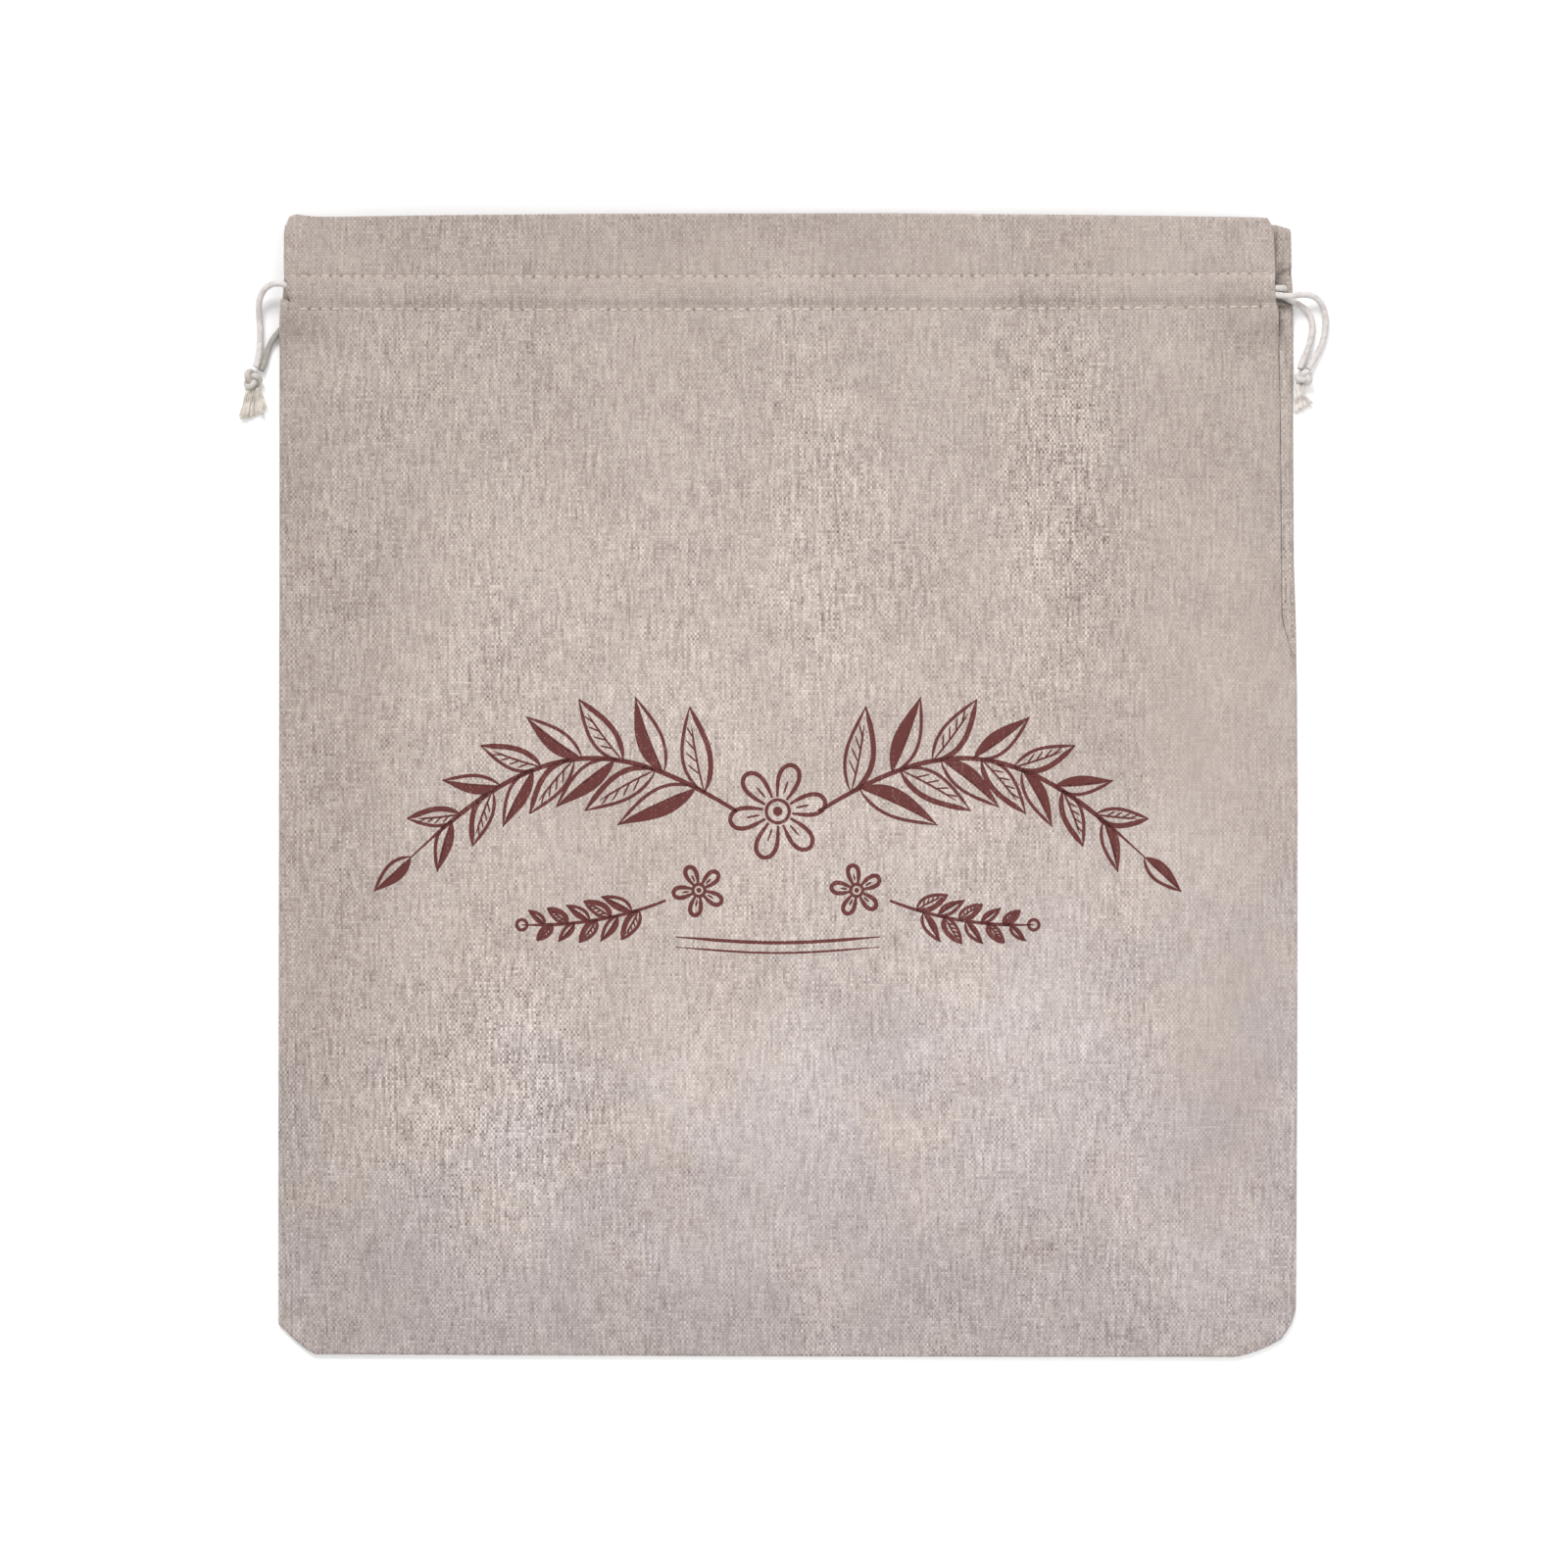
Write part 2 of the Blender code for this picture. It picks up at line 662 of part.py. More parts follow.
def grow_lock(bm, face, across, layer, length, fan):
    """Draw one lock of yarn out of a cell of the head, down towards the surface."""
    start = face.calc_center_median()
    angle = fan * across
    for k in range(1, LOCK_SECTIONS + 1):
        share = k / LOCK_SECTIONS
        grown = bmesh.ops.extrude_discrete_faces(bm, faces=[face])["faces"][0]
        tip_height = TIP_LOWEST + TIP_SPREAD * layer - HEAD_HEIGHT / 2
        target = Vector(
            (
                start.x + math.sin(angle) * length * share,
                mix(start.y, tip_height, ease(share)),
                start.z + math.cos(angle) * length * share,
            )
        )
        move = target - grown.calc_center_median()
        bmesh.ops.translate(bm, verts=grown.verts, vec=move)
        bmesh.ops.scale(
            bm,
            verts=grown.verts,
            vec=(LOCK_TAPER, LOCK_TAPER, 1.0),
            space=Matrix.Translation(-target),
        )
        face = grown


def build_ends(name, values, bag):
    """A cord's two frayed ends: locks of yarn fused at a short head below the knot."""
    root_x, root_y, heading, head_length, head_width, longest, fan, shortening = values
    bm = bmesh.new()
    bmesh.ops.create_grid(bm, x_segments=LOCK_COLUMNS, y_segments=LOCK_LAYERS, size=1.0)
    for vert in bm.verts:
        round_off(vert, head_width / 2, HEAD_HEIGHT / 2)
    grown = bmesh.ops.extrude_face_region(bm, geom=list(bm.faces), use_keep_orig=True)["geom"]
    moved = [part for part in grown if isinstance(part, bmesh.types.BMVert)]
    bmesh.ops.translate(bm, verts=moved, vec=(0, 0, head_length))
    cells = [part for part in grown if isinstance(part, bmesh.types.BMFace)]
    bmesh.ops.inset_individual(bm, faces=cells, thickness=LOCK_INSET)
    order = sorted(cells, key=lambda f: (round(f.calc_center_median().y, 5), f.calc_center_median().x))
    for number, face in enumerate(order):
        layer, column = divmod(number, LOCK_COLUMNS)
        across = 2 * column / (LOCK_COLUMNS - 1) - 1
        uneven = 1 - 0.10 * ((number * 5) % 3)
        length = longest * uneven * (1 - shortening * (across + 1) / 2)
        grow_lock(bm, face, across, layer, length, fan)
    turned = Matrix(((1, 0, 0), (0, 0, -1), (0, 1, 0)))
    placed = Matrix.Translation((root_x, root_y, HEAD_HEIGHT / 2)) @ Matrix.Rotation(heading, 4, "Z")
    bmesh.ops.transform(bm, matrix=placed @ turned.to_4x4(), verts=bm.verts)
    add_mesh(name, bm, "cotton_yarn", bag)


def build_bag():
    """Every piece of the bag."""
    bag = bpy.data.objects.new("bread_bag", None)
    bpy.context.scene.collection.objects.link(bag)
    build_panel("front_panel", front_place, columns(FRONT_COLUMN_PITCH), "linen_front", bag)
    back_columns = [*columns(BACK_COLUMN_PITCH), *STRIP_COLUMNS]
    build_panel("back_panel", back_place, back_columns, "linen_back", bag)
    build_run("left_drawstring_run", LANE_UPPER, JOINT_LEFT, TURN_RIGHT, bag)
    build_run("right_drawstring_run", LANE_LOWER, JOINT_RIGHT, TURN_LEFT, bag)
    build_strand("left_front_strand", LANE_UPPER, True, JOINT_LEFT, LEFT_FRONT_ROUTE, bag)
    build_strand("left_back_strand", LANE_UPPER, False, JOINT_LEFT, LEFT_BACK_ROUTE, bag)
    build_strand("right_front_strand", LANE_LOWER, True, JOINT_RIGHT, RIGHT_FRONT_ROUTE, bag)
    build_strand("right_back_strand", LANE_LOWER, False, JOINT_RIGHT, RIGHT_BACK_ROUTE, bag)
    build_knot("left_knot", LEFT_KNOT, bag)
    build_knot("right_knot", RIGHT_KNOT, bag)
    build_ends("left_cord_ends", LEFT_ENDS, bag)
    build_ends("right_cord_ends", RIGHT_ENDS, bag)


for leftover in list(bpy.data.objects):
    bpy.data.objects.remove(leftover, do_unlink=True)
build_bag()
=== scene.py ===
"""Looks of the linen bread bag: its cloth, stitching, print, cords and knots, and a plain studio."""

import math
import random

import bmesh
import bpy
import numpy as np
from mathutils import Matrix, Vector, noise


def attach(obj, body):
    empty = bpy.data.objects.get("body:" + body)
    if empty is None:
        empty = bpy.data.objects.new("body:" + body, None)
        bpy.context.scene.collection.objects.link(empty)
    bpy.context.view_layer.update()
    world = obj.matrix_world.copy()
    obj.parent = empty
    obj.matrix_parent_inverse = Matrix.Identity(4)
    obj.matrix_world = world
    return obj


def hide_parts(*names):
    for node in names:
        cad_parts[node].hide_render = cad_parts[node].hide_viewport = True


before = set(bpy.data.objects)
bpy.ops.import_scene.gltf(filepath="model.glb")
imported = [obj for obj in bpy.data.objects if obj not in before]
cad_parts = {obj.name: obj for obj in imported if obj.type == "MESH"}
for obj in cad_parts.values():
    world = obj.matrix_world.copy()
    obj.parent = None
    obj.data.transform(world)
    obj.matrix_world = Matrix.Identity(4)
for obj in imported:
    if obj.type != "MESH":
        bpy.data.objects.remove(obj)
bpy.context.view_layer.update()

MM = 0.001

# The photograph's frame at the height of the bag's face, centred a little off the bag
FRAME_WIDTH = 0.6172
FRAME_CENTRE = (-0.00154, 0.00075)
LENS = 200.0
SENSOR = 36.0
FACE_HEIGHT = 0.0050

# Cloth and cord
CLOTH = 0.0011
GAP = 0.0003
CORD = 0.0025
CORD_RADIUS = CORD / 2

# Drawstring channel
ROW_LOW = 0.1882
ROW_HIGH = 0.2012
HEM_EDGE = 0.1850
HEM_STEP = 0.0004
TUNNEL = CORD + 2 * GAP
LANE_UPPER = 0.1962
LANE_LOWER = 0.1930
CHANNEL_TILT = 0.0025
CHANNEL_SAG = 0.0011
HALF_WIDTH = 0.2000
RIDGE = 2 * CLOTH + TUNNEL

# Heights of the front panel's outer face above the surface
RIM_TOP = 2 * CLOTH + GAP
MOUTH_GAP = 0.0050
CHANNEL_EDGE_TOP = 2 * RIDGE + GAP - TUNNEL / 2
CHANNEL_MIDDLE_TOP = 2 * RIDGE + MOUTH_GAP - TUNNEL / 2
BODY_TOP = 0.0120
HEADING_EDGE_TOP = 4 * CLOTH + GAP
HEADING_MIDDLE_TOP = 0.0128
HEADING_END = 0.2250
SWELL_WIDTH = 0.080
SWELL_START = 0.100
SLIT_END = 0.1700

# The inner layer stops short of the channels' mouths
FRONT_RECESS = (0.0097, 0.0040)
BACK_RECESS = (0.0118, 0.0068)
RECESS_LOW = 0.1853
RECESS_HIGH = 0.2045
RECESS_EASE = 0.0040

# At the left mouth the inner layer stands out as a tongue, and both layers rise towards the side
TONGUE_TOP = 0.1893
TONGUE_EASE = 0.0008
TONGUE_FROM = 0.1893
FLAP_LOW = 0.1862
FLAP_EASE = 0.0020
FLAP_FIRST_X = -0.1954
FLAP_LAST_X = -0.1988
FLAP_LIFT = 0.0034
TONGUE_LIFT_SHARE = 0.7

# Rolled strip of the back panel beside the front panel's right seam
STRIP_LEAST = 0.0012
SEAM_GAP = 0.00003
STRIP_SEAM_SHARE = 0.78
STRIP_START = 0.053
STRIP_EASE = 0.010
STRIP_CLIMB = 0.1770
STRIP_CLIMB_EASE = 0.0070
STRIP_END = 0.1890
STRIP_END_EASE = 0.0016
STRIP_MOUTH_RISE = 0.0020
STRIP_COLUMNS = (1.02, 1.06, 1.12, 1.22, 1.40, 1.60, 1.78, 1.90, 1.96, 2.0)

# Side edges of both panels below the rolled strip: y, left x, right x
LOWER_SIDES = (
    (-0.2180, -0.1945, 0.1945),
    (-0.2120, -0.2007, 0.1984),
    (-0.2062, -0.2007, 0.2001),
    (-0.1660, -0.2007, 0.2003),
    (-0.1200, -0.2007, 0.2006),
    (0.0000, -0.2005, 0.2007),
    (0.0450, -0.2004, 0.2004),
)

# Front panel's side edges, in the same columns
FRONT_SIDES = (
    *LOWER_SIDES,
    (0.0560, -0.2004, 0.1974),
    (0.0660, -0.2003, 0.1947),
    (0.1470, -0.2003, 0.1940),
    (0.1800, -0.2002, 0.1932),
    (0.1860, -0.1999, 0.1930),
    (0.1882, -0.1994, 0.1926),
    (0.1893, -0.1988, 0.1922),
    (0.1901, -0.1955, 0.1919),
    (0.1932, -0.1963, 0.1915),
    (0.1946, -0.1973, 0.1913),
    (0.1984, -0.1967, 0.1915),
    (0.2000, -0.1979, 0.1916),
    (0.2012, -0.1982, 0.1917),
    (0.2165, -0.1984, 0.1914),
    (0.2187, -0.1980, 0.1911),
    (0.2225, -0.1964, 0.1889),
)

# Back panel's side edges, in the same columns
BACK_SIDES = (
    *LOWER_SIDES,
    (0.0560, -0.2004, 0.2003),
    (0.0660, -0.2003, 0.2001),
    (0.0900, -0.2003, 0.1993),
    (0.1470, -0.2003, 0.1990),
    (0.1800, -0.2002, 0.1991),
    (0.1882, -0.1995, 0.1990),
    (0.2012, -0.1985, 0.1983),
    (0.2180, -0.1982, 0.1981),
    (0.2225, -0.1982, 0.1979),
)

# Lower edge of both panels: x, y
BOTTOM_EDGE = (
    (-0.1945, -0.2180),
    (-0.1905, -0.2214),
    (-0.1868, -0.2239),
    (-0.1200, -0.2243),
    (0.0000, -0.2248),
    (0.1000, -0.2250),
    (0.1770, -0.2250),
    (0.1830, -0.2234),
    (0.1890, -0.2210),
    (0.1945, -0.2180),
)

# Top edge of the front panel's heading: x, y
FRONT_TOP = (
    (-0.1964, 0.2245),
    (-0.1937, 0.2255),
    (-0.1860, 0.2244),
    (-0.1750, 0.2243),
    (-0.0800, 0.2250),
    (0.0400, 0.2250),
    (0.1300, 0.2239),
    (0.1840, 0.2233),
    (0.1889, 0.2231),
)

# Top edge of the back panel's heading: x, y
BACK_TOP = (
    (-0.1982, 0.2215),
    (0.0000, 0.2225),
    (0.1700, 0.2212),
    (0.1924, 0.2205),
    (0.1979, 0.2188),
)
FIRST_Y = -0.2180
LAST_Y = 0.2225
CORNER_BLEND = 0.030
TOP_BLEND = 0.018
INNER_SHARE = {"outer": 0.0, "near": 0.0, "point": 0.5, "far": 1.0, "inner": 1.0}

# Soft creases that run down from the channel: x at the channel, x and y at the foot, half width, height
CREASES = (
    (0.064, 0.074, 0.030, 0.013, -0.0009),
    (0.101, 0.106, 0.050, 0.014, 0.0005),
    (0.138, 0.143, 0.020, 0.017, -0.0011),
    (-0.034, -0.040, 0.070, 0.017, -0.0006),
    (-0.108, -0.100, 0.045, 0.019, -0.0008),
    (-0.150, -0.143, 0.000, 0.016, 0.0005),
)
CREASE_AT_CHANNEL = 0.25
CREASE_WIDENING = 1.6

# Fine unevenness of the visible cloth
WAVES = ((0.055, 0.00032, 3.1), (0.024, 0.00016, 7.7), (0.011, 0.00007, 12.9))
PUCKER_PITCH = 0.0105
PUCKER_HEIGHT = 0.00024
PUCKER_REACH = 0.009
SEAM_SWELL = 0.04
FOLD_LOW = 0.1892
FOLD_HIGH = 0.1929
GROOVE_DEPTH = 0.00028
GROOVE_WIDTH = 0.0011
FREE_EDGE_ROUND = 0.0010
SEWN_EDGE_ROUND = 0.0015
STRIP_EDGE_ROUND = 0.0026
STRIP_CROWN_POWER = 2.6
SEWN_EDGE_DROP = 0.00095
STRIP_EDGE_DROP = 0.00060

# The waves fade out towards the sides and the bottom, and towards the top
CALM_SIDE = 0.006
CALM_TOP = 0.004

# The sewn edge turns into a free one over this length, and no edge thins to less than this share
FREE_EASE = 0.008
THINNEST = 0.97

# Shares of half the thickness by which free edges are rounded: sides, top, inner face
SIDE_SHARE = 0.85
TOP_SHARE = 0.95
INNER_ROUND_SHARE = 0.9

# Stitch rows on the outside: y, first x and last x
STITCH_ROWS = ((ROW_LOW, -0.1917, 0.1905), (ROW_HIGH, -0.1958, 0.1905))
STITCH_PITCH = 0.0042
STITCH_LENGTH = 0.0031
STITCH_WANDER = 0.00016

# Ends of the stitch rows inside the bag: x on the left, right on the front and on the back
INSIDE_LEFT = -0.1840
INSIDE_FRONT_RIGHT = 0.1850
INSIDE_BACK_RIGHT = 0.1880

# Mesh spacing of the visible cloth, and its rows just below and above the channel
FINE_EDGE_STEPS = (0.0, 0.0002, 0.0005, 0.0009, 0.0014, 0.0021, 0.0031, 0.0045, 0.0060)
FRONT_MESH_PITCH = 0.0026
BACK_MESH_PITCH = 0.0044
CHANNEL_ROWS = 7
ROWS_BELOW = (0.1862, 0.1871, 0.1877)
ROWS_ABOVE = (0.2017, 0.2023, 0.2033, 0.2046)
HEADING_ROWS = 6
HEM_STEPS = (0.0040, 0.0022, 0.0009)

# Where the drawstrings' held runs meet their free strands, and where they turn round
JOINT_LEFT = -0.1860
JOINT_RIGHT = 0.1830
TURN_LEFT = -0.1880
TURN_RIGHT = 0.1925
TURN_STEPS = 14

# The right turn lies a little lower than its lane, against the front strand
TURN_DROP = 0.0007
TURN_DROP_START = 0.1780
BACK_LANE = CLOTH + TUNNEL / 2

# Free strands, each from its channel's mouth to its knot: x, y, z
ON_FLOOR = CORD_RADIUS + 0.00005
LEFT_FRONT_ROUTE = (
    (-0.1958, 0.1963, 0.0085),
    (-0.1990, 0.1974, 0.0083),
    (-0.2020, 0.1975, 0.0078),
    (-0.2047, 0.1964, 0.0069),
    (-0.2067, 0.1944, 0.0058),
    (-0.2079, 0.1916, 0.0047),
    (-0.2083, 0.1885, 0.0037),
    (-0.2082, 0.1842, 0.0026),
    (-0.2079, 0.1795, 0.0019),
    (-0.2080, 0.1745, 0.0019),
    (-0.2085, 0.1700, 0.0023),
    (-0.2091, 0.1668, 0.0027),
    (-0.2096, 0.1650, 0.0029),
)
LEFT_BACK_ROUTE = (
    (-0.1915, 0.1957, BACK_LANE),
    (-0.1933, 0.1944, 0.0028),
    (-0.1942, 0.1919, 0.0033),
    (-0.1950, 0.1887, 0.0039),
    (-0.1962, 0.1852, 0.0040),
    (-0.1980, 0.1820, 0.0035),
    (-0.2002, 0.1792, 0.0027),
    (-0.2023, 0.1767, 0.0019),
    (-0.2040, 0.1739, ON_FLOOR),
    (-0.2051, 0.1709, ON_FLOOR),
    (-0.2059, 0.1679, ON_FLOOR),
    (-0.2068, 0.1653, 0.0014),
    (-0.2076, 0.1637, 0.0018),
)
RIGHT_FRONT_ROUTE = (
    (0.1885, 0.1934, 0.0087),
    (0.1925, 0.1931, 0.0083),
    (0.1958, 0.1927, 0.0078),
    (0.1990, 0.1928, 0.0071),
    (0.2022, 0.1932, 0.0062),
    (0.2054, 0.1931, 0.0051),
    (0.2083, 0.1918, 0.0040),
    (0.2105, 0.1892, 0.0030),
    (0.2116, 0.1854, 0.0021),
    (0.2117, 0.1805, 0.0015),
    (0.2110, 0.1760, ON_FLOOR),
    (0.2094, 0.1717, ON_FLOOR),
    (0.2073, 0.1680, 0.0015),
    (0.2058, 0.1654, 0.0020),
    (0.2050, 0.1642, 0.0023),
)
RIGHT_BACK_ROUTE = (
    (0.1925, 0.1932, BACK_LANE),
    (0.1955, 0.1925, BACK_LANE),
    (0.1983, 0.1910, BACK_LANE),
    (0.2010, 0.1897, 0.0023),
    (0.2035, 0.1880, 0.0017),
    (0.2055, 0.1856, ON_FLOOR),
    (0.2065, 0.1825, ON_FLOOR),
    (0.2065, 0.1790, ON_FLOOR),
    (0.2058, 0.1752, ON_FLOOR),
    (0.2046, 0.1715, ON_FLOOR),
    (0.2031, 0.1681, 0.0014),
    (0.2022, 0.1654, 0.0018),
    (0.2019, 0.1643, 0.0021),
)
STRAND_RING_STEP = 0.00028
RUN_RING_STEP = 0.0011
BRAID_CARRIERS = 4
BRAID_PITCH = 0.0042
BRAID_DEPTH = 0.075

# Knots: centre x and y, scale along x, y and z, turn about Z
LEFT_KNOT = (-0.2110, 0.1601, 0.00100, 0.00110, 0.00150, math.radians(205))
RIGHT_KNOT = (0.2034, 0.1609, 0.00092, 0.00078, 0.00140, math.radians(150))
KNOT_CORD_RADIUS = 0.00118
KNOT_STEPS = 150

# Frayed ends: root x and y, half width at the root, straight neck, pinch below the neck
LEFT_ROOT = (-0.2105, 0.1568, 0.0031, 0.0010, 0.10)
RIGHT_ROOT = (0.2017, 0.1582, 0.0019, 0.0038, 0.45)

# Their locks: longest one, leftmost and rightmost angle, shortening to the right, locks, yarns, seed
LEFT_LOCKS = (0.0130, math.radians(-21), math.radians(30), 0.34, 7, 160, 11)
RIGHT_LOCKS = (0.0080, math.radians(-13), math.radians(46), 0.30, 6, 110, 23)
YARN_RADIUS = 0.00024
YARN_SIDES = 5
YARN_SECTIONS = 12

# Colours in sRGB. A pair is a light and a dark one
LINEN_LIGHT = (214, 201, 192)
LINEN_DARK = (110, 96, 90)
# Painted shade in the weave's pinholes and in the needle holes
LINEN_HOLE_SHADE = (84, 71, 64)
THREAD_COLOURS = ((212, 200, 192), (182, 169, 160))
CORD_COLOURS = ((224, 219, 216), (186, 178, 175))
# Painted shade: a darker copy of the cord's colours, for the left back strand
SHADED_CORD_COLOURS = ((180, 175, 168), (138, 132, 126))
# Painted shade: a darker copy of the cord's colours, for the left knot
SHADED_KNOT_COLOURS = ((208, 202, 197), (170, 162, 156))
YARN_COLOURS = ((228, 220, 210), (193, 183, 172))
PALE_YARN_COLOURS = ((235, 228, 223), (203, 194, 188))
INK = (92, 49, 47)
INK_THIN = (120, 83, 79)
# Painted shade in the print's pinholes
INK_PINHOLE_SHADE = (66, 32, 32)
FLOOR = (254, 254, 254)

# How fine the fibres are, as noise scales for each millimetre
CORD_FIBRE = 2.6
YARN_FIBRE = 1.9
THREAD_FIBRE = 3.0

# A cooler, greyer tint of the lower part, as linear factors
COOL_TINT = (0.940, 0.972, 1.050, 1.0)


def linear(channel):
    """An sRGB channel, 0 to 255, as a linear value."""
    share = channel / 255
    return share / 12.92 if share <= 0.04045 else ((share + 0.055) / 1.055) ** 2.4


def rgba(colour):
    """An sRGB colour as linear red, green, blue and alpha."""
    return (*(linear(c) for c in colour), 1.0)


def ease(t):
    """A smooth step from 0 to 1."""
    t = min(max(t, 0.0), 1.0)
    return t * t * (3 - 2 * t)


def dome(t):
    """A rounded rise from 0 to 1 that is steepest at its foot."""
    t = min(max(t, 0.0), 1.0)
    return 1 - (1 - t) ** 2


def mix(a, b, share):
    """The value a share of the way from a to b."""
    return a + (b - a) * share


class Table:
    """A table read straight between its rows, by the value in its first column."""

    def __init__(self, rows):
        self.keys = np.array([row[0] for row in rows])
        self.columns = np.array(rows).T

    def at(self, key, column=1):
        return float(np.interp(key, self.keys, self.columns[column]))


front_sides = Table(FRONT_SIDES)
back_sides = Table(BACK_SIDES)
bottom_edge = Table(BOTTOM_EDGE)
front_top = Table(FRONT_TOP)
back_top = Table(BACK_TOP)


# Shape of the cloth, the same as the frame's panels, with fine unevenness on top


def crease_height(x, y):
    """How far the soft creases lift or lower the front panel at a point."""
    total = 0.0
    for top_x, foot_x, foot_y, half_width, height in CREASES:
        along = min(max((y - foot_y) / (HEM_EDGE - foot_y), 0.0), 1.0)
        centre = mix(foot_x, top_x, along)
        width = half_width * mix(CREASE_WIDENING, 1.0, along)
        strength = ease(along * 1.6)
        if y > SLIT_END:
            strength *= mix(1.0, CREASE_AT_CHANNEL, ease((y - SLIT_END) / (ROW_LOW - SLIT_END)))
        total += height * strength * math.exp(-(((x - centre) / width) ** 2))
    return total


def front_height(x, y):
    """Height of the front panel's outer face, before the channel's swell and the fine unevenness."""
    across = dome((x - front_sides.at(y, 1)) / SWELL_WIDTH)
    across *= dome((front_sides.at(y, 2) - x) / SWELL_WIDTH)
    across *= dome((y - bottom_edge.at(x)) / SWELL_WIDTH)
    edge = mix(RIM_TOP, CHANNEL_EDGE_TOP, ease((y - SLIT_END) / (ROW_LOW - SLIT_END)))
    middle = mix(BODY_TOP, CHANNEL_MIDDLE_TOP, ease((y - SWELL_START) / (ROW_LOW - SWELL_START)))
    above = ease((y - ROW_HIGH) / (HEADING_END - ROW_HIGH))
    edge = mix(edge, HEADING_EDGE_TOP, above)
    middle = mix(middle, HEADING_MIDDLE_TOP, above)
    return edge + (middle - edge + crease_height(x, y)) * across


def unevenness(x, y):
    """Soft waves all over the cloth and small puckers along the stitch rows."""
    total = 0.0
    for length, height, shift in WAVES:
        total += height * noise.noise(Vector((x / length, y / length, shift)))
    for row in (ROW_LOW, ROW_HIGH):
        away = abs(y - row - row_shift(x, row))
        near = math.exp(-((away / PUCKER_REACH) ** 2))
        wander = noise.noise(Vector((x / 0.045, row * 40, 0.0)))
        wave = math.sin(2 * math.pi * (x / PUCKER_PITCH + 1.3 * wander))
        strong = 0.6 + 0.8 * noise.noise(Vector((x / 0.06, 9.1, row * 70)))
        total += PUCKER_HEIGHT * near * wave * strong * ease(away / 0.0015)
    return total


def stitch_pitch(left, right):
    """The stitches' spacing, fitted to a row's length."""
    return (right - left) / round((right - left) / STITCH_PITCH)


def groove(row_distance):
    """Depth of the line that a stitch row pulls into the cloth."""
    return GROOVE_DEPTH * math.exp(-((row_distance / GROOVE_WIDTH) ** 2))


def rounding(distance, reach, depth):
    """How far a face falls away towards an edge, as a quarter round."""
    if distance >= reach:
        return 0.0
    short = 1 - max(distance, 0.0) / reach
    return depth * (1 - math.sqrt(1 - short * short))


def recess(y):
    """How much of the inner layer's recess applies at this height up the bag."""
    return ease((y - RECESS_LOW) / RECESS_EASE) * ease((RECESS_HIGH - y) / RECESS_EASE)


def row_shift(x, y):
    """How far the rows at the channel lie off y: they climb to the right and sag in the middle."""
    middle = max(0.0, 1 - (x / HALF_WIDTH) ** 4)
    fade = 1 - ease((y - ROW_HIGH) / (HEADING_END - ROW_HIGH))
    return CHANNEL_TILT * x - CHANNEL_SAG * middle * fade


def sheared(x, y):
    """Where a row at y passes x. Rows below the slits run straight across."""
    return y + row_shift(x, y) * ease((y - SLIT_END) / (HEM_EDGE - SLIT_END))


def panel_point(row_y, x, top):
    """Where a column at x meets a row, in plan."""
    low = (1 - ease((row_y - FIRST_Y) / CORNER_BLEND)) * (bottom_edge.at(x) - FIRST_Y)
    high = (1 - ease((LAST_Y - row_y) / TOP_BLEND)) * (top.at(x) - LAST_Y)
    return x, sheared(x, row_y + low) + high


def channel_swell(row_y):
    """The channel's swell between its two stitch rows, from 0 to 1, steepest below its cord."""
    middle = (ROW_HIGH + ROW_LOW) / 2
    if row_y < middle:
        return mix(SEAM_SWELL, 1.0, ease((row_y - FOLD_LOW) / (FOLD_HIGH - FOLD_LOW)))
    return (1 - ((row_y - middle) / (ROW_HIGH - middle)) ** 4) ** 0.8


def front_surface(x, y):
    """Height of the visible front cloth, for what is laid on it."""
    return front_height(x, y) + unevenness(x, y)


def inner_left(row_y):
    """Left end of the front panel's inner layer: a tongue below the slit, drawn in above it."""
    tongue = front_sides.at(min(row_y, TONGUE_FROM), 1)
    drawn = front_sides.at(row_y, 1) + FRONT_RECESS[0] * recess(row_y)
    return mix(tongue, drawn, ease((row_y - TONGUE_TOP) / TONGUE_EASE))


